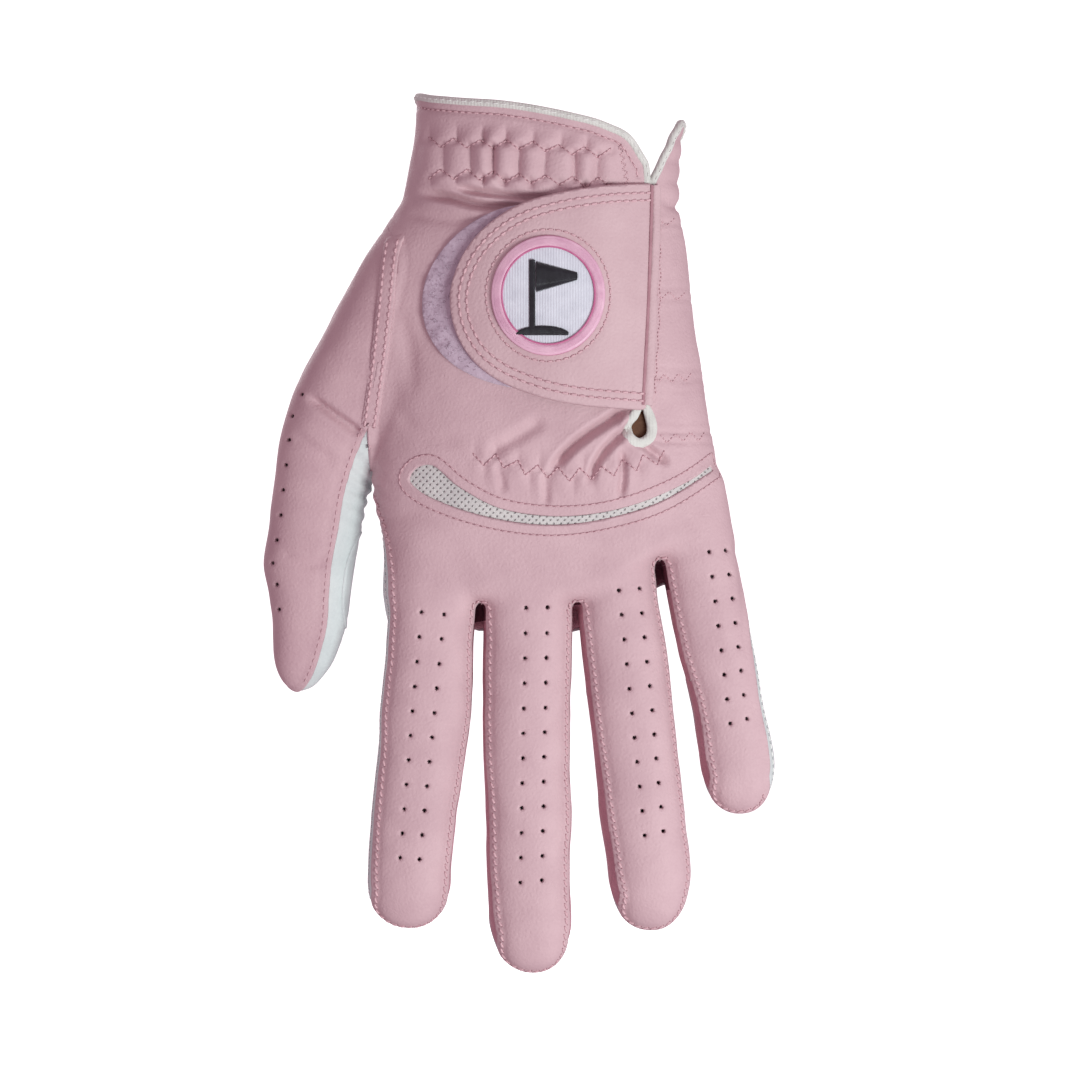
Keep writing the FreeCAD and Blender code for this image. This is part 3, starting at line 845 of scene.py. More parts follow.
def ripples(p, n):
    """The displacement of the leather over the plain form."""
    x, z = p[:, 0], p[:, 2]
    terms = [0.4 * noise(p, 12.0) + 0.12 * noise(p, 4.2, 5.0)]
    terms += [np.where(n[:, 1] < 0.25, groove(x, z, *fold), 0) for fold in FOLDS]
    terms += [np.where(n[:, 1] > 0.2, groove(x, z, *fold), 0) for fold in PALM_FOLDS]
    terms.append(puckers(p))
    terms += finger_creases(p, n)
    web = np.exp(-(((x + 40.5) / 4.0) ** 2 + ((z + 84.0) / 9.0) ** 2))
    gather = np.sin((z * 0.8 + x * 0.5 + noise(p, 5.0, 9.0)) * 2.2)
    return sum(terms) + 0.35 * web * gather


# ---------------------------------------------------------------- materials

def node(tree, kind, **inputs):
    """A shader node; each keyword sets or links one of its sockets, or sets a property."""
    n = tree.nodes.new("ShaderNode" + kind)
    for key, value in inputs.items():
        if key not in n.inputs:
            setattr(n, key, value)
        elif hasattr(value, "is_output"):
            tree.links.new(value, n.inputs[key])
        else:
            n.inputs[key].default_value = value
    return n


def weighted(tree, value, share, other):
    """A node for value times share, plus other."""
    n = node(tree, "Math", operation="MULTIPLY_ADD")
    tree.links.new(value, n.inputs[0])
    n.inputs[1].default_value = share
    tree.links.new(other, n.inputs[2])
    return n.outputs[0]


def linear(rgb):
    """sRGB 0-255 to linear, with alpha."""
    c = np.array(rgb, float) / 255
    c = np.where(c <= 0.04045, c / 12.92, ((c + 0.055) / 1.055) ** 2.4)
    return (*c, 1.0)


def make_material(name, light, dark, grain, bump, rough, sheen, patch, weave, shine):
    """A procedural leather or cloth: mottled colour, a fine grain and an optional weave."""
    m = bpy.data.materials.new(name)
    m.use_nodes = True
    t = m.node_tree
    shader = t.nodes["Principled BSDF"]
    at = node(t, "TexCoord").outputs["Object"]
    broad = node(t, "TexNoise", Vector=at, Scale=1000 / patch, Detail=3.0).outputs["Fac"]
    fine = node(t, "TexNoise", Vector=at, Scale=1000 / grain, Detail=4.0, Roughness=0.6)
    height = fine.outputs["Fac"]
    ramp = node(t, "ValToRGB", Fac=weighted(t, height, 0.45, broad))
    for stop, place, colour in zip(ramp.color_ramp.elements, (0.5, 0.95), (dark, light)):
        stop.position, stop.color = place, linear(colour)
    t.links.new(ramp.outputs["Color"], shader.inputs["Base Color"])
    if weave:
        turns = 1000 / weave / 6.2832 * 2
        wave = node(t, "TexWave", Vector=at, Scale=turns, Distortion=0.4).outputs["Fac"]
        both = node(t, "Math", operation="ADD")
        t.links.new(height, both.inputs[0])
        t.links.new(wave, both.inputs[1])
        height = both.outputs[0]
    cell = 1000 / (grain * 1.6)
    pebbles = node(t, "TexVoronoi", Vector=at, Scale=cell, feature="DISTANCE_TO_EDGE")
    height = weighted(t, pebbles.outputs["Distance"], 0.8, height)
    relief = node(t, "Bump", Strength=bump, Distance=grain * 0.22 * MM, Height=height)
    t.links.new(relief.outputs["Normal"], shader.inputs["Normal"])
    looks = {"Roughness": rough, "Specular IOR Level": shine, "Sheen Weight": sheen}
    looks["Sheen Roughness"] = 0.5
    for key, value in looks.items():
        shader.inputs[key].default_value = value
    m.diffuse_color = linear(light)
    return m


# Each material: name, light and dark colour, grain size, bump strength, roughness, sheen, size of
# the mottling, pitch of any weave, and specular level.
MATERIAL_ROWS = [
    ("pink_leather", (210, 178, 184), (200, 167, 174), 0.65, 0.85, 0.72, 0.0, 9.0, None, 0.5),
    ("white_leather", (214, 219, 219), (200, 206, 207), 0.7, 0.5, 0.62, 0.0, 9.0, None, 0.35),
    ("pink_fourchette", (202, 150, 162), (188, 132, 146), 0.65, 0.85, 0.74, 0.0, 9.0, None, 0.45),
    ("thumb_leather", (208, 175, 181), (197, 162, 170), 0.65, 0.85, 0.72, 0.0, 9.0, None, 0.5),
    ("mesh_knit", (216, 213, 211), (196, 192, 192), 0.4, 0.6, 0.9, 0.2, 9.0, None, 0.35),
    # Painted shade: the webs between the fingers get this darker pink for the deep shade that falls
    # between them.
    ("pink_web_painted_shade", (122, 72, 86), (94, 50, 62), 0.65, 0.85, 0.85, 0.0, 9.0, None, 0.2),
    ("mesh_lining", (190, 186, 187), (172, 167, 169), 0.4, 0.6, 0.9, 0.2, 9.0, None, 0.35),
    ("white_binding", (224, 224, 219), (204, 204, 199), 0.35, 0.6, 0.85, 0.2, 4.0, 0.7, 0.35),
    ("loop_pile", (206, 186, 202), (184, 162, 179), 0.5, 0.9, 1.0, 0.5, 2.5, None, 0.35),
    ("tab_leather", (211, 181, 186), (202, 170, 176), 0.65, 0.8, 0.72, 0.0, 9.0, None, 0.5),
    ("badge_twill", (222, 224, 234), (206, 208, 219), 0.35, 0.7, 0.85, 0.2, 3.0, 0.6, 0.35),
    ("badge_satin", (232, 188, 208), (216, 164, 190), 0.25, 0.4, 0.35, 0.3, 3.0, None, 0.35),
    ("vent_thread", (216, 179, 186), (204, 165, 173), 0.15, 0.4, 0.6, 0.2, 2.0, None, 0.35),
    ("rim_thread", (206, 120, 160), (188, 98, 140), 0.25, 0.4, 0.5, 0.2, 3.0, None, 0.35),
    # Painted shade: grey marks for the shade inside needle holes in white leather.
    ("needle_shade", (168, 170, 172), (148, 150, 152), 0.3, 0.2, 0.95, 0.0, 3.0, None, 0.35),
    ("eyelet_leather", (104, 66, 44), (80, 48, 32), 0.6, 0.6, 0.7, 0.0, 9.0, None, 0.35),
    # Painted shade: dark pink marks for the shade inside needle holes, and for the shadow line
    # beside the tab.
    ("needle_hole", (182, 139, 148), (166, 121, 131), 0.3, 0.2, 0.95, 0.0, 3.0, None, 0.35),
    ("dark_thread", (40, 40, 48), (20, 20, 27), 0.2, 0.3, 0.38, 0.2, 2.0, None, 0.35),
    ("white_thread", (240, 240, 237), (222, 222, 219), 0.15, 0.4, 0.6, 0.2, 2.0, None, 0.35),
    ("pink_thread", (222, 184, 191), (208, 168, 176), 0.15, 0.4, 0.6, 0.2, 2.0, None, 0.35),
    ("lining", (214, 198, 200), (196, 178, 182), 0.5, 0.5, 0.95, 0.2, 9.0, None, 0.35),
    ("elastic_web", (230, 230, 228), (206, 206, 204), 0.4, 0.6, 0.8, 0.1, 4.0, 0.9, 0.35),
    ("hook_nylon", (214, 182, 190), (190, 156, 166), 0.4, 0.9, 0.5, 0.1, 3.0, None, 0.35),
    ("label_satin", (240, 240, 240), (226, 226, 226), 0.25, 0.3, 0.35, 0.2, 4.0, 0.4, 0.35),
]
MATERIALS = {row[0]: make_material(*row) for row in MATERIAL_ROWS}
# The row's material slot for a material that has none of its own.
SLOTS = {
    "thumb_leather": "pink_leather",
    "tab_leather": "pink_leather",
    "white_thread": "white_binding",
    "pink_thread": "badge_satin",
    "rim_thread": "badge_satin",
    "vent_thread": "pink_leather",
    "needle_hole": "pink_leather",
    "needle_shade": "white_leather",
    "eyelet_leather": "cotton_facing",
    "lining": "cotton_facing",
    "mesh_lining": "mesh_knit",
    "pink_web_painted_shade": "pink_fourchette",
}


# ---------------------------------------------------------------- making objects

def attach(obj, body):
    """Rides on one body; given a joint's name, it stays where it is with its transform baked in."""
    if body in frame["bodies"]:
        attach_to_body(obj, body)
        return obj
    at, down = joint_frame(body)
    half = BEND_HALF[body.split("_")[0]]
    start, end = (at - down * half) * MM, (at + down * half) * MM
    tuple(start)
    tuple(end)
    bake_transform(obj)
    return obj


def make_piece(name, p, faces, normals, material, body):
    """A smooth mesh of points in millimetres with its own normals, riding on a body, or left in
    place for a joint's name.
    """
    mesh = bpy.data.meshes.new(name)
    mesh.from_pydata((p * MM).tolist(), [], faces)
    mesh.materials.append(MATERIALS[material])
    mesh.shade_smooth()
    mesh.normals_split_custom_set_from_vertices(normals.tolist())
    obj = bpy.data.objects.new(name, mesh)
    bpy.context.collection.objects.link(obj)
    SLOTS.get(material, material)
    return attach(obj, body)


RIM_TURN = 0.9


def shell(name, sheet, material, body, thick=SKIN, bulge=0.22, open_at=None):
    """A sheet with a thickness and a rounded edge, left open where open_at is zero."""
    p, n, t = sheet.p, sheet.n, sheet.t
    count = len(p)
    e = sheet.edges()
    if open_at is not None and len(e):
        on_cut = np.abs(open_at(sheet.rest)) < 1e-3
        e = e[~(on_cut[e[:, 0]] & on_cut[e[:, 1]])]
    a, b = e[:, 0], e[:, 1]
    rim = np.unique(e)
    away = unit(gathered(e, np.cross(p[b] - p[a], n[a] + n[b]), count)[rim])
    inner = p - n * thick
    middle = (p[rim] + inner[rim]) / 2 + away * bulge
    places = np.full(count, -1)
    places[rim] = np.arange(len(rim)) + 2 * count
    walls = [
        np.stack([b, a, places[a], places[b]], 1),
        np.stack([places[b], places[a], a + count, b + count], 1),
    ]
    outside, inside = n.copy(), -n
    for flat in (outside, inside):
        flat[rim] += away * RIM_TURN
    faces = t.tolist() + (t[:, ::-1] + count).tolist() + np.vstack(walls).tolist()
    normals = unit(np.vstack([outside, inside, away]))
    return make_piece(name, np.vstack([p, inner, middle]), faces, normals, material, body)


# ---------------------------------------------------------------- threads and tubes

class Threads:
    """Many short stitches gathered into one mesh for each place they ride."""

    def __init__(self):
        self.sets = {}

    def add(self, key, start, end, normal, width, lift, arch=0.1):
        """Stitches from start to end, lying along the surface."""
        self.sets.setdefault(key, []).append((start, end, normal, width, lift, arch))

    def build(self):
        for (name, material, body), rows in self.sets.items():
            points, faces, normals, base = [], [], [], 0
            for row in rows:
                p, f, n = stitch_mesh(*row)
                points.append(p)
                faces.append(f + base)
                normals.append(n)
                base += len(p)
            points, faces, normals = (np.vstack(part) for part in (points, faces, normals))
            make_piece(name, points, faces.tolist(), normals, material, body)


def ring_faces(rings, sides, closed=False):
    """Quads that join each ring of vertices to the next."""
    faces = []
    for i in range(rings if closed else rings - 1):
        j = (i + 1) % rings
        for k in range(sides):
            m = (k + 1) % sides
            faces.append((i * sides + k, i * sides + m, j * sides + m, j * sides + k))
    return faces


# A stitch's section: sides of each ring, and how far along it each ring is and how wide.
STITCH_SIDES = 6
STATIONS = [(0.0, 0.15), (0.08, 0.72), (0.3, 1.0), (0.7, 1.0), (0.92, 0.72), (1.0, 0.15)]
END_DIP = 0.16


def stitch_mesh(start, end, normal, width, lift, arch):
    """Capsules for many stitches at once: arched in the middle, ends dipping in."""
    start, end, normal = (np.asarray(a, float).reshape(-1, 3) for a in (start, end, normal))
    along = end - start
    ahead = unit(along)
    side = unit(np.cross(normal, ahead))
    up = np.cross(ahead, side)
    rings, normals = [], []
    for s, r in STATIONS:
        bow = math.sin(math.pi * s)
        centre = start + along * s + up * (lift + arch * bow - END_DIP * (1 - bow) ** 4)
        for k in range(STITCH_SIDES):
            a = 2 * math.pi * k / STITCH_SIDES
            out = side * math.cos(a) + up * math.sin(a) * 0.8
            rings.append(centre + out * (width / 2 * r))
            normals.append(unit(out + ahead * ((s - 0.5) * 2) ** 5 * 1.5))
    p, n = (np.stack(part, 1).reshape(-1, 3) for part in (rings, normals))
    faces = np.array(ring_faces(len(STATIONS), STITCH_SIDES))
    first = np.arange(len(start)) * STITCH_SIDES * len(STATIONS)
    return p, (faces[None] + first[:, None, None]).reshape(-1, 4), n


def tube(name, path, normals, material, body, wide, high, closed=False, sides=12):
    """A flattened tube swept along a path, such as a folded binding tape."""
    p = np.asarray(path, float)
    ahead = np.roll(p, -1, 0) - np.roll(p, 1, 0)
    if not closed:
        ahead[0], ahead[-1] = p[1] - p[0], p[-1] - p[-2]
    ahead = unit(ahead)
    side = unit(np.cross(normals, ahead))
    up = np.cross(ahead, side)
    rows, ns = [], []
    for k in range(sides):
        a = 2 * math.pi * k / sides
        c, s = math.cos(a), math.sin(a)
        cc, ss = np.sign(c) * abs(c) ** 0.7, np.sign(s) * abs(s) ** 0.7
        rows.append(p + side * (cc * wide / 2) + up * (ss * high / 2))
        ns.append(unit(side * c / wide + up * s / high))
    verts, norms = (np.stack(part, 1).reshape(-1, 3) for part in (rows, ns))
    faces = ring_faces(len(p), sides, closed)
    if not closed:
        centre, last = len(verts), len(verts) - sides
        verts = np.vstack([verts, p[0], p[-1]])
        norms = np.vstack([norms, -ahead[0], ahead[-1]])
        for k in range(sides):
            m = (k + 1) % sides
            faces += [(k, centre, m), (last + k, last + m, centre + 1)]
    return make_piece(name, verts, faces, norms, material, body)


def chains(edges):
    """Directed edges joined into ordered runs of vertices."""
    after = {}
    for a, b in edges:
        after.setdefault(int(a), []).append(int(b))
    starts = set(after) - {int(b) for _, b in edges}
    runs = []
    for origin in list(starts) + list(after):
        run, at = [origin], origin
        while after.get(at):
            at = after[at].pop()
            run.append(at)
        if len(run) > 4:
            runs.append(run)
    return runs


def contour(sheet, field, level):
    """The line on a sheet where a vertex field passes a level, as ordered paths."""
    g = field - level
    t = sheet.t
    inside = g[t] < 0
    mixed = t[(inside.sum(1) == 1) | (inside.sum(1) == 2)]
    links, where = [], {}
    points, normals = [], []

    def crossing(a, b):
        key = (a, b) if a < b else (b, a)
        if key not in where:
            i, j = key
            s = g[i] / (g[i] - g[j])
            where[key] = len(points)
            points.append(sheet.p[i] * (1 - s) + sheet.p[j] * s)
            normals.append(sheet.n[i] * (1 - s) + sheet.n[j] * s)
        return where[key]

    for tri in mixed.tolist():
        found = []
        for a, b in ((tri[0], tri[1]), (tri[1], tri[2]), (tri[2], tri[0])):
            if (g[a] < 0) != (g[b] < 0):
                found.append((crossing(a, b), g[a] < 0))
        first, second = found
        links.append((first[0], second[0]) if first[1] else (second[0], first[0]))
    if not points:
        return []
    pts, nrm = np.array(points), np.array(normals)
    return [(pts[r], nrm[r]) for r in chains(links)]


def dashes(path, normals, pitch, fill=0.72):
    """Start, end and normal of each stitch along a path, or None where none fits."""
    s = run_length(path)
    count = int(s[-1] / pitch)
    if count < 1:
        return None
    first = (np.arange(count) + (1 - fill) / 2) * s[-1] / count
    last = first + fill * s[-1] / count
    n = unit(read_along((first + last) / 2, s, normals))
    return read_along(first, s, path), read_along(last, s, path), n


# ---------------------------------------------------------------- build the skin

def in_puckers(p):
    """The gathered places on the back, which need a finer mesh."""
    x, y, z = p[:, 0], p[:, 1], p[:, 2]
    cuff = (z > -27.0) & (z < -1.0) & (x > -32.0) & (x < 24.0)
    knuckles = (z > -91.0) & (z < -64.0) & (x > -20.0) & (x < 30.0)
    return (y < 0) & (cuff | knuckles)


def make_base():
    """The whole glove as one sheet, with its folds and puckers."""
    points, quads = surface_net()
    points = relax(points, quads, 4)
    sheet = refine(Sheet(points, triangles_of(points, quads)), in_puckers)
    sheet.p = onto_form(sheet.p, 2)
    sheet.rest = sheet.p.copy()
    sheet.n = outward(sheet.p)
    sheet.push(ripples(sheet.p, sheet.n))
    sheet.set_normals()
    return sheet


base = make_base()
BASE_TREE = BVHTree.FromPolygons(base.p.tolist(), base.t.tolist())


def press(x, z):
    """Points on the displaced back at many X, Z places, and the normals there."""
    points, normals = [], []
    for a, b in zip(x, z):
        hit, n, _, _ = BASE_TREE.ray_cast(Vector((a, -60.0, b)), Vector((0, 1, 0)))
        if hit is None:
            hit, n, _, _ = BASE_TREE.find_nearest(Vector((a, -8.0, b)))
        points.append(hit)
        normals.append(n)
    return np.array(points, float), np.array(normals, float)


# What each edge of a panel is: a seam, an open edge, the vent, the thumb's seam, the line where
# a panel passes from one body to the next, or an air hole.
TAG_SIDE, TAG_OPEN, TAG_VENT, TAG_THUMB, TAG_BODY, TAG_HOLE = 1, 2, 3, 4, 5, 6

glove = cut(base, cuff_height(base.rest), TAG_OPEN)
hand = cut(glove, -thumb_line(glove.rest), TAG_THUMB)
thumb = cut(glove, thumb_line(glove.rest), TAG_THUMB)

edge_back, edge_front = seam_heights(hand.rest)
back = cut(hand, hand.rest[:, 1] - edge_back, TAG_SIDE)
front = cut(hand, edge_front - hand.rest[:, 1], TAG_SIDE)
sides = cut(hand, edge_back - hand.rest[:, 1], TAG_SIDE)
sides = cut(sides, sides.rest[:, 1] - seam_heights(sides.rest)[1], TAG_SIDE)
back = cut(back, -slit_field(back.rest), TAG_OPEN)
back = cut(back, -vent_field(back.rest), TAG_VENT)
thumb_back = cut(thumb, thumb_side(thumb.rest), TAG_SIDE)
thumb_front = cut(thumb, -thumb_side(thumb.rest), TAG_SIDE)

AIR_HOLE_R = 0.57
# Air holes: first hole, last hole and how many, for each row.
AIR_ROWS = [
    ((-28.2, -111.5), (-33.0, -165.4), 11),
    ((-23.1, -112.0), (-28.6, -165.7), 11),
    ((-5.3, -110.6), (-6.6, -170.8), 12),
    ((-0.4, -110.6), (-1.8, -170.3), 12),
    ((15.0, -106.7), (20.7, -160.4), 11),
    ((19.8, -106.3), (24.9, -159.5), 11),
    ((34.8, -98.3), (39.4, -136.0), 8),
    ((38.7, -97.9), (43.3, -134.9), 8),
]
THUMB_AIR = [(-54.8, -63.6), (-56.8, -68.4), (-57.4, -73.7), (-58.3, -79.2), (-59.0, -84.7)]
THUMB_AIR += [(-59.6, -90.2), (-60.5, -95.7), (-61.4, -100.8), (-60.5, -105.6), (-60.1, -111.1)]


def air_holes():
    """Centres of the air holes over the fingers."""
    for first, last, count in AIR_ROWS:
        for k in range(count):
            t = k / (count - 1)
            yield first[0] + (last[0] - first[0]) * t, first[1] + (last[1] - first[1]) * t


def pierce(sheet, spots):
    """Round holes with pressed rims through a panel, seen from the back of the hand."""
    spots = [(x, 0, z) for x, z in spots]

    def gap(p):
        return np.where(p[:, 1] < 9.0, distances(p * (1, 0, 1), spots), 50.0)

    for reach in (1.5, 1.0):
        sheet = refine(sheet, lambda p: gap(p) < reach)
    d = gap(sheet.rest)
    sheet.push(-0.16 * bell(d - AIR_HOLE_R, 0.28))
    return cut(sheet, AIR_HOLE_R - d, TAG_HOLE)


back = pierce(back, air_holes())
thumb_back = pierce(thumb_back, THUMB_AIR)

threads = Threads()

EDGE_REACH = 8.0


def edge_distance(sheet, *tags):
    """Distance from each vertex to the sheet's edges with some tags, up to a reach."""
    e = np.unique(sheet.edges())
    targets = sheet.p[e[np.isin(sheet.tag[e], tags)]]
    if not len(targets):
        return np.full(len(sheet.p), EDGE_REACH)
    return np.minimum(EDGE_REACH, distances(sheet.p, targets))


def split_bodies(sheet):
    """A panel split between the hand and each finger, keyed by joint name."""
    f = fold_field(sheet.rest)
    yield "knuckle_fold", cut(sheet, f, TAG_BODY)
    beyond = cut(sheet, -f, TAG_BODY)
    centre = finger_places(beyond.rest)[0]
    x = beyond.rest[:, 0]
    own = np.argmin(np.abs(centre - x), axis=0)
    for k, name in enumerate(FINGERS):
        faces = beyond.t[own[beyond.t[:, 0]] == k]
        if len(faces):
            parts = (beyond.rest, beyond.n, beyond.tag)
            yield f"{name}_bend", Sheet(beyond.p, faces, *parts).packed()


def raise_edges(sheet, distance, lip, width, pinch):
    """Lifts a panel beside its seams, or sinks it, and dips it along the stitch row."""
    lift = lip * bell(distance, width)
    lift = lift * (1 - smooth(-33.0, -27.0, sheet.p[:, 2]) * (sheet.p[:, 0] < -25.0))
    sheet.push(lift - pinch * bell(distance - 2.1, 0.55))
    sheet.set_normals()


STITCH_PITCH = 1.75


def add_stitches(name, thread, body, row, width=0.42, lift=0.03, holes=True):
    """A run of stitches, and the needle holes between them as small sunk marks in painted shade."""
    start, end, n = row
    part = body.split("_")[0]
    threads.add((f"{name}_{part}", thread, body), start, end, n, width, lift)
    if holes:
        along = unit(end - start)
        # Each needle hole is a small sunk mark coloured with painted shade.
        hole_shade = "needle_shade" if thread == "white_thread" else "needle_hole"
        for at in (start - along * 0.08, end + along * 0.08):
            spot = (at - along * 0.16, at + along * 0.16)
            threads.add((f"{name}_holes_{part}", hole_shade, body), *spot, n, 0.34, -0.06, 0.12)


def stitch_rows(
    sheet, distance, level, thread, name, pitch=STITCH_PITCH, width=0.42, keep=None, slant=0.0
):
    """Stitches at one distance from a panel's edge, where keep allows them, each on its body."""
    for path, normals in contour(sheet, distance, level):
        if len(path) < 6:
            continue
        row = dashes(smooth_path(path), normals, pitch)
        if not row:
            continue
        start, end, n = row
        across = np.cross(n, end - start)
        across *= slant / np.maximum(np.linalg.norm(across, axis=1, keepdims=True), 1e-9)
        start, end = start - across, end + across
        middle = (start + end) / 2
        ok = np.ones(len(middle), bool) if keep is None else keep(middle)
        ok &= (np.abs(n[:, 1]) > 0.3) | (thread == "white_thread")
        body = body_at(middle)
        for b in sorted(set(body[ok])):
            use = ok & (body == b)
            add_stitches(name, thread, b, (start[use], end[use], n[use]), width)


def smooth_path(path, times=6):
    """The same path with its small corners evened out."""
    p = path.copy()
    for _ in range(times):
        p[1:-1] = p[1:-1] * 0.5 + (p[:-2] + p[2:]) * 0.25
    return p


def body_at(points):
    """The joint's name for each point: the knuckle fold on the hand, or the nearest finger's bend.
    """
    f = fold_field(points)
    centre = finger_places(points)[0]
    own = np.argmin(np.abs(centre - points[:, 0]), axis=0)
    names = np.array([f"{n}_bend" for n in FINGERS])
    return np.where(f < 0, "knuckle_fold", names[own])


def build_panel(name, sheet, material, lip, pinch, replaced):
    """A panel's pieces, one for the hand and one for each finger that it reaches."""
    raise_edges(sheet, edge_distance(sheet, TAG_SIDE, TAG_THUMB), lip, 1.5, pinch)
    for body, piece in split_bodies(sheet):
        piece_name = f"{name}_{body.split('_')[0]}"
        # The side panels' knuckle piece, the web between the fingers, takes the darker pink that
        # paints the shade there.
        leather = "pink_web_painted_shade" if piece_name == "leather_side_knuckle" else material
        obj = shell(piece_name, piece, leather, body, open_at=fold_field)
        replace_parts(obj, *replaced.get(body, ()))


def per_finger(*parts):
    """CAD nodes that each finger's piece of a panel stands for."""
    return {f"{n}_bend": [f"{n}_{p}" for p in parts] for n in FINGERS}


def on_cuff(p):
    """Along the cuff's edge on the back, down to where the tab begins."""
    return (p[:, 0] < 20.5) & (p[:, 2] > -17.0)


open_gap = edge_distance(back, TAG_OPEN)
back.push(-0.38 * bell(open_gap - TOPSTITCH, 0.7) * on_cuff(back.p))
back.set_normals()

back_map = per_finger("back")
back_map["knuckle_fold"] = ["back_panel", "knuckle_panel"]
build_panel("leather_back", back, "pink_leather", 0.34, 0.14, back_map)
front_map = per_finger("front", "crease")
front_map["knuckle_fold"] = ["palm_panel", "finger_palm_panel", "knuckle_crease"]
build_panel("leather_front", front, "white_leather", 0.2, 0.12, front_map)
side_map = per_finger("fourchette")
side_map["knuckle_fold"] = [f"fourchette_{a}_{b}" for a, b in zip(FINGERS, FINGERS[1:])]
build_panel("leather_side", sides, "pink_fourchette", -0.3, 0.0, side_map)


def build_thumb(name, sheet, material, lip, nodes):
    """One of the thumb's two panels, with its seam edges raised, standing for some CAD nodes."""
    raise_edges(sheet, edge_distance(sheet, TAG_SIDE, TAG_THUMB), lip, 1.4, 0.1)
    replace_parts(shell(name, sheet, material, "thumb_bend"), *nodes)


build_thumb("thumb_outer", thumb_back, "thumb_leather", 0.3, ["thumb_back", "thumb_tip_back"])
for path, normals in contour(thumb_back, edge_distance(thumb_back, TAG_SIDE), 0.95):
    inner = path[:, 0] > hermite(path[:, 2], LIMBS["thumb"]["rows"]) + 1.0
    inner &= path[:, 2] < -60.0
    path, normals = path[inner], normals[inner]
    row = dashes(smooth_path(path), normals, STITCH_PITCH) if len(path) > 6 else None
    if row:
        add_stitches("thumb_stitches", "vent_thread", "thumb_bend", row, 0.32, holes=False)
inner_nodes = ["thumb_front", "thumb_tip_front", "thumb_crease"]
build_thumb("thumb_inner", thumb_front, "white_leather", -0.1, inner_nodes)


def below_knuckles(p):
    """On the fingers, but not on the little finger's outer side, where the seam is hidden."""
    outer = p[:, 0] - hermite(p[:, 2], LIMBS["little"]["rows"])
    return (p[:, 2] < -80.0) & ((outer < 3.0) | (p[:, 2] < -152.0))


def on_back(p):
    return p[:, 1] < -2


seam_gap = edge_distance(back, TAG_SIDE)
stitch_rows(back, seam_gap, 1.5, "pink_thread", "seam_stitches", 1.7, 0.58, below_knuckles, 0.3)
stitch_rows(front, edge_distance(front, TAG_SIDE), 2.1, "white_thread", "palm_stitches")
vent_gap = vent_field(back.rest)
stitch_rows(back, vent_gap, 2.0, "vent_thread", "vent_stitches", 1.55, 0.36, on_back)
stitch_rows(back, open_gap, TOPSTITCH, "pink_thread", "cuff_topstitch", 1.6, 0.4, on_cuff)

# ---------------------------------------------------------------- pieces laid on the hand

def skin_at(x, z, side=-1.0, lift=0.0):
    """Points on the plain form at X, Z on the back (-1) or palm (+1), and the normals."""
    x, z = np.asarray(x, float), np.asarray(z, float)
    outer, inner = np.full(x.shape, side * 25.0), np.full(x.shape, side * 1.0 + 0.5)
    for _ in range(18):
        y = (outer + inner) / 2
        hit = form(np.stack([x, y, z], 1)) > 0
        outer, inner = np.where(hit, y, outer), np.where(hit, inner, y)
    p = np.stack([x, (outer + inner) / 2, z], 1)
    n = outward(p)
    return p + n * np.reshape(lift, (-1, 1)), n


def patch(outline, height, step=0.7, side=-1.0):
    """A sheet with an outline in X and Z, lying at a height over the hand."""
    outline = np.asarray(outline, float)
    low, high = outline.min(0) - 2 * step, outline.max(0) + 2 * step
    xs, zs = np.arange(low[0], high[0], step), np.arange(low[1], high[1], step)
    gx, gz = np.meshgrid(xs, zs, indexing="ij")
    gx = gx + (np.arange(len(zs)) % 2)[None] * step / 2
    ids = np.arange(gx.size).reshape(gx.shape)
    a, b = ids[:-1, :-1].ravel(), ids[1:, :-1].ravel()
    c, d = ids[1:, 1:].ravel(), ids[:-1, 1:].ravel()
    t = np.vstack([np.stack([a, b, c], 1), np.stack([a, c, d], 1)])
    x, z = gx.ravel(), gz.ravel()
    if side > 0:
        t = t[:, ::-1]
    flat = Sheet(np.stack([x, np.zeros(x.size), z], 1), t)
    flat = cut(flat, outline_distance(x, z, outline), TAG_SIDE)
    x, z = flat.p[:, 0], flat.p[:, 2]
    flat.p, flat.n = skin_at(x, z, side)
    flat.push(height(x, z))
    flat.set_normals()
    return flat


def level(h):
    """One height everywhere, for patch()."""
    return lambda x, z: np.full(x.shape, float(h))


# The closure tab, the loop patch that it leaves showing, and the badge on the tab.
TAB_OUTLINE = [(21.6, -18.4), (11.0, -19.3), (2.2, -20.8), (-6.6, -23.5), (-13.2, -27.9)]
TAB_OUTLINE += [(-17.8, -33.4), (-20.3, -39.4), (-20.9, -44.0), (-19.8, -50.4), (-16.5, -56.3)]
TAB_OUTLINE += [(-11.0, -60.8), (-2.2, -64.4), (6.6, -66.2), (20.3, -67.4)]
TAB_OUTLINE = rounded_path(TAB_OUTLINE, 1.2)
LOOP_OUTLINE = [(8.0, -24.6), (-5.0, -23.2), (-13.0, -25.0), (-20.4, -29.8), (-25.6, -36.4)]
LOOP_OUTLINE += [(-27.6, -43.4), (-26.2, -51.0), (-21.4, -57.2), (-13.4, -61.4), (-4.0, -63.0)]
LOOP_OUTLINE = rounded_path(LOOP_OUTLINE + [(8.0, -62.6)], 1.2)
BADGE = (-0.5, -42.8)
BADGE_R = 10.5
BADGE_RING_R = 12.7
BADGE_STITCH_R = 14.2
BADGE_WIDE = 0.91
TAB_THICK = 1.05
TAB_STITCHES = (1.8, 3.4)


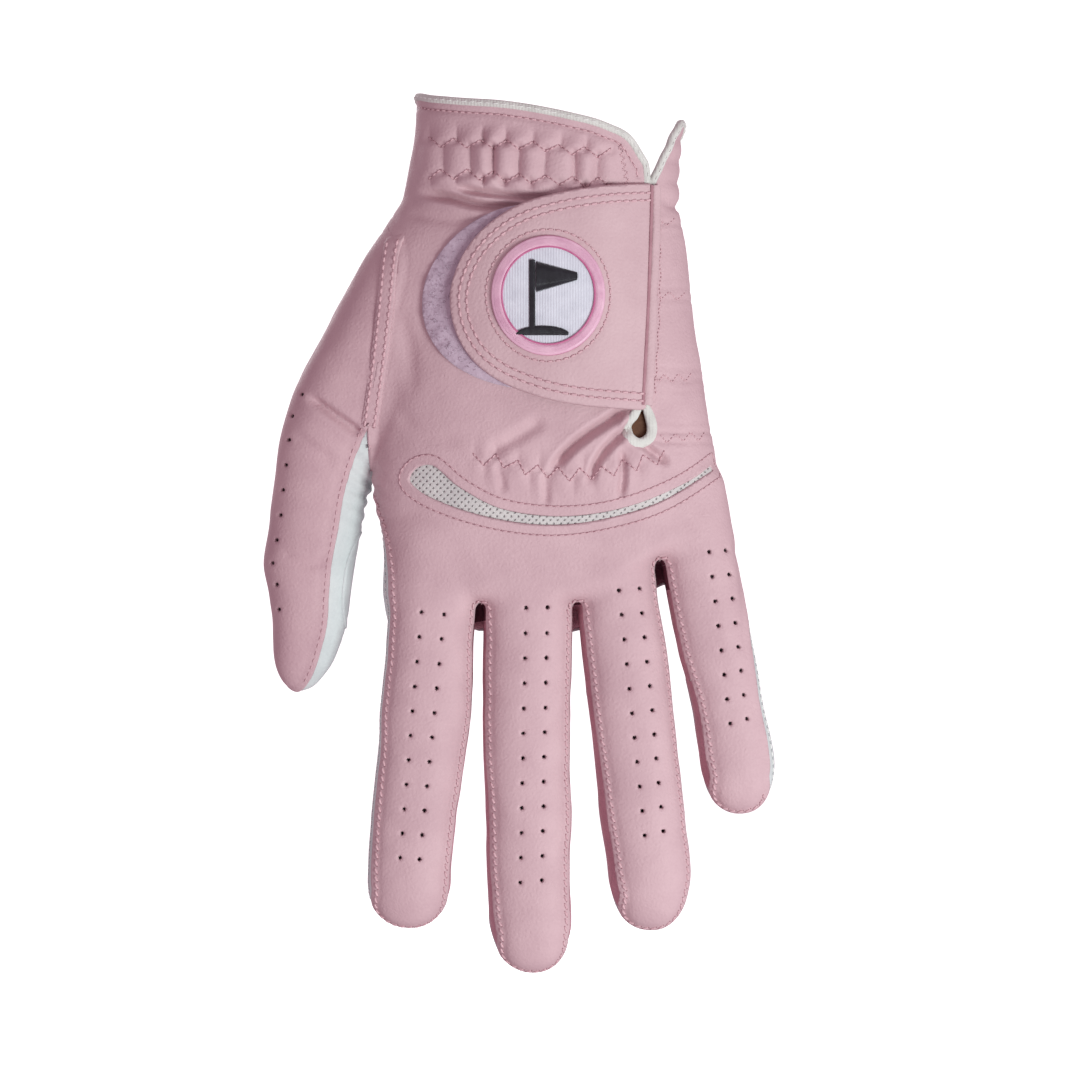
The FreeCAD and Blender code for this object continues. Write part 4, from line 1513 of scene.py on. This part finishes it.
def tab_height(x, z):
    """Height of the tab's upper face over the hand, with its stitched-down edges."""
    d = -outline_distance(x, z, TAB_OUTLINE)
    free = smooth(21.0, 6.0, x)
    h = 1.25 + 1.15 * free
    h = h + 0.3 * smooth(0.0, 2.4, d) + 0.35 * smooth(3.5, 9.0, d)
    for row in TAB_STITCHES:
        h = h - 0.16 * bell(d - row, 0.45)
    r = np.hypot((x - BADGE[0]) / BADGE_WIDE, z - BADGE[1])
    h = h - 0.14 * bell(r - BADGE_STITCH_R, 0.5)
    p = np.stack([x, np.zeros(x.shape), z], 1)
    return h + 0.14 * noise(p, 9.0, 4.0)


def on_tab(x, z, lift=0.0):
    """Points over the tab's upper face, and the normals there."""
    x, z = np.asarray(x, float), np.asarray(z, float)
    return skin_at(x, z, -1.0, tab_height(x, z) + lift)


def lay(name, sheet, material, body, thick, nodes, bulge=0.12):
    """A flat piece that stands for some CAD nodes."""
    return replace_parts(shell(name, sheet, material, body, thick, bulge), *nodes)


def add_tab():
    """The closure tab with its lining, hook patch and two rows of stitches."""
    tab = patch(TAB_OUTLINE, tab_height, 0.6)
    lay("tab_leather", tab, "tab_leather", "tab", TAB_THICK, ["tab_leather"], 0.3)
    inner = TAB_OUTLINE * 0.985 + np.array([0.2, -0.63])
    lining = patch(inner, lambda x, z: tab_height(x, z) - TAB_THICK - 0.02, 0.9)
    lay("tab_lining", lining, "lining", "tab", 0.28, ["tab_lining"])
    hook = [(6, -28), (-8, -28.5), (-15, -35), (-17, -44), (-13, -53), (-5, -59), (6, -60)]
    under = patch(rounded_path(hook), lambda x, z: tab_height(x, z) - TAB_THICK - 0.3, 0.9)
    lay("hook_patch", under, "hook_nylon", "tab", 0.5, ["hook_patch"])
    edge = line_distance(tab.rest[:, 0], tab.rest[:, 2], TAB_OUTLINE)[0]
    for row in TAB_STITCHES:
        for path, normals in contour(tab, edge, row):
            if len(path) > 10:
                stitched = dashes(smooth_path(path), normals, 1.9)
                add_stitches("tab_stitches", "pink_thread", "tab", stitched, 0.56)


def ring_points(radius, count):
    """X and Z of points round the badge."""
    a = np.linspace(0, 2 * math.pi, count, endpoint=False)
    return BADGE[0] + BADGE_WIDE * radius * np.cos(a), BADGE[1] + radius * np.sin(a)


def add_badge():
    """A twill disc in a satin ring, with a row of stitches round it."""
    outline = np.stack(ring_points(BADGE_R + 0.6, 72), 1)
    disc = patch(outline, lambda x, z: tab_height(x, z) + 0.42, 0.55)
    lay("badge_disc", disc, "badge_twill", "tab", 0.4, ["badge_disc"])
    x, z = ring_points((BADGE_R + BADGE_RING_R) / 2, 120)
    path, normals = on_tab(x, z, 0.42)
    core = tube("badge_ring", path, normals, "badge_satin", "tab", 2.5, 0.9, closed=True)
    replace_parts(core, "badge_ring")
    count = 300
    inner, n = on_tab(*ring_points(BADGE_R, count), 0.55)
    outer, _ = on_tab(*ring_points(BADGE_RING_R, count), 0.35)
    threads.add(("badge_threads", "badge_satin", "tab"), inner, outer, n, 0.36, 0.14, 0.42)
    rims = (("badge_rim_in", BADGE_R, 0.62), ("badge_rim_out", BADGE_RING_R, 0.3))
    for name, radius, lift in rims:
        path, normals = on_tab(*ring_points(radius, 160), lift)
        tube(name, path, normals, "rim_thread", "tab", 0.45, 0.45, closed=True, sides=8)
    path, normals = on_tab(*ring_points(BADGE_STITCH_R, 200))
    path, normals = np.vstack([path, path[:1]]), np.vstack([normals, normals[:1]])
    add_stitches("badge_stitches", "pink_thread", "tab", dashes(path, normals, 1.7, 0.62), 0.5)


def satin(rows):
    """Dark satin stitches between pairs of X, Z ends on the badge."""
    ends = [np.array([r[k] for r in rows]) * (BADGE_WIDE, 1.0) + BADGE for k in (0, 1)]
    (start, n), (end, _) = (on_tab(*at.T, 0.5) for at in ends)
    threads.add(("badge_motif_threads", "dark_thread", "tab"), start, end, n, 0.42, 0.1, 0.35)


def add_motif():
    """A flag on its pin, standing on a small green."""
    step = 0.27
    satin([((-4.4, z), (-2.9, z)) for z in np.arange(-7.4, 7.6, step)])
    flag = []
    for x in np.arange(-2.6, 6.4, step):
        t = (x + 2.6) / 9.0
        flag.append(((x, 7.4 - 2.4 * t), (x, 0.6 + 2.6 * t)))
    satin(flag)
    mound = []
    for x in np.arange(-7.2, 4.6, step):
        t = (x + 1.3) / 6.0
        mound.append(((x, -8.6), (x, -8.3 + 1.9 * math.sqrt(max(0.0, 1 - t * t)))))
    satin(mound)


def add_loop_patch():
    """The soft half of the fastener, with loose loops of pile."""
    sheet = patch(LOOP_OUTLINE, level(0.75), 0.7)
    distance = edge_distance(sheet, TAG_SIDE)
    sheet.push(0.12 * noise(sheet.rest, 1.3, 2.0) + 0.2 * smooth(0.0, 1.5, distance))
    sheet.set_normals()
    lay("loop_patch", sheet, "loop_pile", "hand", 0.9, ["loop_patch"])
    rng = np.random.default_rng(3)
    pick = rng.choice(len(sheet.p), 3600)
    a = rng.uniform(0, 2 * math.pi, len(pick))
    pick = pick[distance[pick] > 0.9]
    a = a[: len(pick)]
    place = sheet.p[pick] + rng.normal(0, 0.2, (len(pick), 3))
    lean = np.stack([np.cos(a), 0 * a, np.sin(a)], 1) * rng.uniform(0.2, 0.4, (len(pick), 1))
    ends = (place - lean, place + lean, sheet.n[pick])
    threads.add(("loop_nap", "loop_pile", "hand"), *ends, 0.11, 0.04, 0.12)


add_tab()
add_badge()
add_motif()
add_loop_patch()


def strip(path, width):
    """A closed outline of one width round a path in X and Z."""
    p = rounded_path(path, 1.5)
    side = sideways(p) * width / 2
    return np.vstack([p + side, (p - side)[::-1]])


def add_inner_pieces():
    """Elastics, cuff facing and label, sewn inside the glove."""
    for k, row in enumerate(CUFF_ROWS):
        name, nodes = f"cuff_elastic_{k + 1}", ["cuff_elastics"]
        lay(name, patch(strip(row, 4.0), level(-1.9)), "elastic_web", "hand", 0.6, nodes)
    band = patch(strip(KNUCKLE_ROW, 4.4), level(-2.2))
    lay("knuckle_elastic", band, "elastic_web", "hand", 0.6, ["knuckle_elastic"])
    for k, row in enumerate(FLANK_ROWS[:3]):
        name, nodes = f"flank_elastic_{k + 1}", ["flank_elastics"]
        short = [(24.4, row[0][1]), (28.4, row[0][1])]
        lay(name, patch(strip(short, 3.2), level(-2.0), 0.5), "elastic_web", "hand", 0.6, nodes)
    facing = [(-25.0, -5.2), (15.5, -7.5), (16.5, -21.0), (-25.0, -20.5)]
    lay("cuff_facing", patch(facing, level(-2.6), 1.0), "lining", "hand", 0.4, ["cuff_facing"])
    label = [(-7.0, -25.0), (7.0, -25.0), (7.0, -33.0), (-7.0, -33.0)]
    sewn = patch(label, level(-1.25), 0.8, side=1.0)
    lay("size_label", sewn, "label_satin", "hand", 0.35, ["size_label"])


add_inner_pieces()


def add_seam_tape():
    """The strip over the thumb's seam, with its two rows of stitches."""
    path = [(-33.4, -28.0), (-34.6, -33.0), (-36.0, -45.0), (-37.6, -58.0), (-39.6, -71.0)]
    sheet = patch(strip(path, 3.6), lambda x, z: 0.3 - 0.9 * smooth(-31.0, -28.0, z), 0.5)
    sheet.push(0.25 * smooth(0.0, 1.0, edge_distance(sheet, TAG_SIDE)))
    sheet.set_normals()
    lay("thumb_seam_tape", sheet, "thumb_leather", "hand", 0.7, ["thumb_seam_tape"], 0.2)
    for width in (-1.05, 1.05):
        p = rounded_path(path, 1.0)
        p = p + sideways(p) * width
        p = p[p[:, 1] < -29.8]
        row = dashes(*skin_at(p[:, 0], p[:, 1], -1.0, 0.46), 1.7)
        add_stitches("tape_stitches", "pink_thread", "hand", row, 0.62)


add_seam_tape()

ZIGZAG_RNG = np.random.default_rng(11)


def zigzag(path, half, period, name, thread="pink_thread"):
    """A zigzag row of small stitches pressed into the leather along a path."""
    p = rounded_path(path, 0.25)
    s = run_length(p)
    legs = max(2, round(s[-1] / (period / 2)))
    middle = read_along(np.linspace(0, s[-1], legs + 1), s, p)
    corners = middle + sideways(middle) * (half * (-1.0) ** np.arange(legs + 1))[:, None]
    corners += ZIGZAG_RNG.normal(0, 0.13 * min(1.0, half**2), corners.shape)
    fine = [a + (b - a) * t for a, b in zip(corners, corners[1:]) for t in (0, 1 / 3, 2 / 3)]
    fine = np.vstack(fine + [corners[-1]])
    first, last = fine[:-1], fine[1:]
    start, n = press(*(first * 0.82 + last * 0.18).T)
    end, _ = press(*(first * 0.18 + last * 0.82).T)
    row = (start, end, n)
    add_stitches(name, thread, "knuckle_fold", row, 0.36, 0.04, thread == "pink_thread")


zigzag(CUFF_ROWS[0], CUFF_HALF, CUFF_PERIOD, "cuff_zigzag")
zigzag(CUFF_ROWS[1], -CUFF_HALF, CUFF_PERIOD, "cuff_zigzag")
zigzag(KNUCKLE_ROW, 1.35, KNUCKLE_PERIOD, "knuckle_zigzag")
for row in FLANK_ROWS:
    zigzag(row, 0.9, 3.2, "flank_zigzag", thread="vent_thread")
zigzag([(15.2, -10.0), (16.7, -18.4)], 0.5, 1.5, "cuff_bartack", thread="vent_thread")
flank_line = [(23.9, -22.5), (23.9, -44.0), (22.8, -64.0)]
zigzag(flank_line, 0.2, 5.2, "flank_stitch", thread="vent_thread")


MESH_PITCH = 1.55
MESH_HOLE_R = 0.25
VENT_END = 35.8


def add_vent():
    """The knitted mesh in the crescent, and the cloth behind it."""
    grown = VENT_PATH + (VENT_PATH - VENT_PATH.mean(0)) * (0.02, 0.08)
    grown[:, 0] = np.minimum(grown[:, 0], VENT_END)
    sheet = patch(grown, level(-0.55), 0.3)
    x, z = sheet.rest[:, 0], sheet.rest[:, 2]
    a, b = (x + z) / MESH_PITCH, (x - z) / MESH_PITCH
    sheet.push(0.1 * np.cos(2 * math.pi * a) * np.cos(2 * math.pi * b))
    sheet.set_normals()
    sheet = cut(sheet, MESH_HOLE_R - np.hypot(a - np.round(a), b - np.round(b)), TAG_HOLE)
    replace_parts(shell("mesh_vent", sheet, "mesh_knit", "knuckle_fold", 0.16, 0.03), "mesh_vent")
    backing = patch(grown, level(-0.78), 0.6)
    lay("mesh_backing", backing, "mesh_lining", "knuckle_fold", 0.25, [])


add_vent()


def open_runs(sheet):
    """Ordered runs of points along a sheet's open edge."""
    e = sheet.edges()
    keep = (sheet.tag[e[:, 0]] == TAG_OPEN) & (sheet.tag[e[:, 1]] == TAG_OPEN)
    for run in chains(e[keep]):
        if len(run) > 12:
            path = even(np.hstack([sheet.p[run], sheet.n[run]]), 0.7)
            path = smooth_path(path, 3)
            yield path[:, :3], path[:, 3:]


def add_bindings():
    """The tape round the cuff and the slit, sunk where the tab covers it."""
    names = (f"edge_binding_{letter}" for letter in "abcd")
    for sheet, nodes in ((back, ["cuff_binding", "slit_binding"]), (front, ["cuff_binding"])):
        for path, normals in open_runs(sheet):
            x, z = path[:, 0], path[:, 2]
            hidden = smooth(-17.5, -20.0, z) * smooth(-67.5, -65.0, z) * (x > 19.0)
            sink = 0.3 + 0.8 * np.reshape(hidden, (-1, 1))
            wide = 1.7 + 0.6 * np.reshape(smooth(-66.0, -69.5, z), (-1, 1))
            centre = path - normals * sink
            tape = tube(next(names), centre, normals, "white_binding", "hand", wide, 1.6)
            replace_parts(tape, *nodes)
            row = dashes(path, normals, 1.8)
            shown = (row[0][:, 2] > -17.0) | (row[0][:, 0] < 18.0)
            row = [part[shown] for part in row]
            add_stitches("binding_stitches", "white_thread", "hand", row, 0.3, 0.5, False)


add_bindings()


def add_piping():
    """The rolled edge of the flank beside the tab, and its root under the tab."""
    path = rounded_path([(22.5, -18.6), (22.3, -30.0), (21.9, -44.0), (20.9, -66.4)], 0.8)
    p, n = skin_at(path[:, 0], path[:, 1], -1.0, 0.75)
    p[:, 0] += 0.3 * noise(p, 7.0, 6.0)
    p = p + n * (0.12 * noise(p, 3.0, 6.0))[:, None]
    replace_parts(tube("tab_anchor", p, n, "tab_leather", "hand", 2.2, 1.5), "tab_anchor")
    # A thin dark tube along the tab's edge paints the shadow line between the tab and the piping.
    p, n = skin_at(path[:, 0] - 1.15, path[:, 1], -1.0, 1.35)
    tube("tab_shadow_line", p, n, "needle_hole", "hand", 0.7, 0.5)
    root = [(19.0, -20.0), (22.6, -19.0), (21.2, -66.4), (18.4, -66.0)]
    lay("tab_hinge", patch(root, level(0.7), 0.5), "tab_leather", "hand", 0.5, [])
    behind = [(16.8, -66.5), (23.2, -66.5), (23.4, -75.6), (16.6, -75.6)]
    lay("eyelet_backing", patch(behind, level(-1.7), 0.6), "eyelet_leather", "hand", 0.5, [])


add_piping()

threads.build()
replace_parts(bpy.data.objects["badge_motif_threads"], "badge_motif")

# ---------------------------------------------------------------- camera and light

# Metres from here on: the lens and sensor in millimetres, and what the picture takes in.
LENS, SENSOR = 150.0, 36.0
PICTURE_WIDTH = 0.2376
PICTURE_CENTRE = (-0.0022, -0.0957)
LIGHT_COLOUR = (0.88, 1.0, 0.965)
WORLD_COLOUR = (1.0, 0.785, 0.88, 1)


def add_light(name, place, size, power):
    """A square softbox aimed at the middle of the glove."""
    data = bpy.data.lights.new(name, "AREA")
    data.size, data.energy = size, power
    data.color = LIGHT_COLOUR
    obj = bpy.data.objects.new(name, data)
    obj.location = place
    aim = Vector((0.0, 0.0, -0.09)) - Vector(place)
    obj.rotation_euler = aim.to_track_quat("-Z", "Y").to_euler()
    bpy.context.collection.objects.link(obj)


def add_studio():
    """The camera square to the back of the hand, two soft lights and a pale surround."""
    camera = bpy.data.objects.new("camera", bpy.data.cameras.new("camera"))
    camera.data.lens, camera.data.sensor_width = LENS, SENSOR
    distance = PICTURE_WIDTH * LENS / SENSOR
    camera.location = (PICTURE_CENTRE[0], -distance, PICTURE_CENTRE[1])
    camera.rotation_euler = (math.pi / 2, 0, 0)
    camera.data.clip_start, camera.data.clip_end = 0.01, 20.0
    bpy.context.collection.objects.link(camera)
    bpy.context.scene.camera = camera

    world = bpy.data.worlds.new("studio")
    world.use_nodes = True
    background = world.node_tree.nodes["Background"]
    background.inputs["Color"].default_value = WORLD_COLOUR
    background.inputs["Strength"].default_value = 0.5
    bpy.context.scene.world = world

    add_light("key", (0.47, -0.62, -0.36), 0.3, 5.1)
    add_light("back", (-0.3, 0.9, 0.25), 0.4, 5.0)
    add_floor()
    bpy.context.scene.view_settings.view_transform = "Standard"


FLOOR = -0.26
FLOOR_SIDES = 96


def add_floor():
    """A plain pale floor under the fingertips that curves up all round."""
    paper = bpy.data.materials.new("paper")
    paper.use_nodes = True
    shader = paper.node_tree.nodes["Principled BSDF"]
    shader.inputs["Base Color"].default_value = (0.95, 0.95, 0.95, 1)
    shader.inputs["Roughness"].default_value = 0.9
    shader.inputs["Emission Color"].default_value = (1, 1, 1, 1)
    shader.inputs["Emission Strength"].default_value = 0.85
    bend = [math.pi / 2 * k / 12 for k in range(13)]
    profile = [(0.01, FLOOR)]
    profile += [(2.5 + 0.5 * math.sin(a), FLOOR + 0.5 - 0.5 * math.cos(a)) for a in bend]
    profile.append((3.0, 3.5))
    around = [2 * math.pi * k / FLOOR_SIDES for k in range(FLOOR_SIDES)]
    verts = [(r * math.cos(a), r * math.sin(a), z) for a in around for r, z in profile]
    n, total = len(profile), len(verts)
    faces = [
        (a + k, a + k + 1, (a + n + k + 1) % total, (a + n + k) % total)
        for a in range(0, total, n)
        for k in range(n - 1)
    ]
    faces += [(a, (a + n) % total, total) for a in range(0, total, n)]
    verts.append((0.0, 0.0, FLOOR))
    mesh = bpy.data.meshes.new("floor")
    mesh.from_pydata(verts, [], faces)
    mesh.materials.append(paper)
    mesh.shade_smooth()
    obj = bpy.data.objects.new("floor", mesh)
    bpy.context.collection.objects.link(obj)
    obj.visible_diffuse = obj.visible_glossy = obj.visible_shadow = False


add_studio()
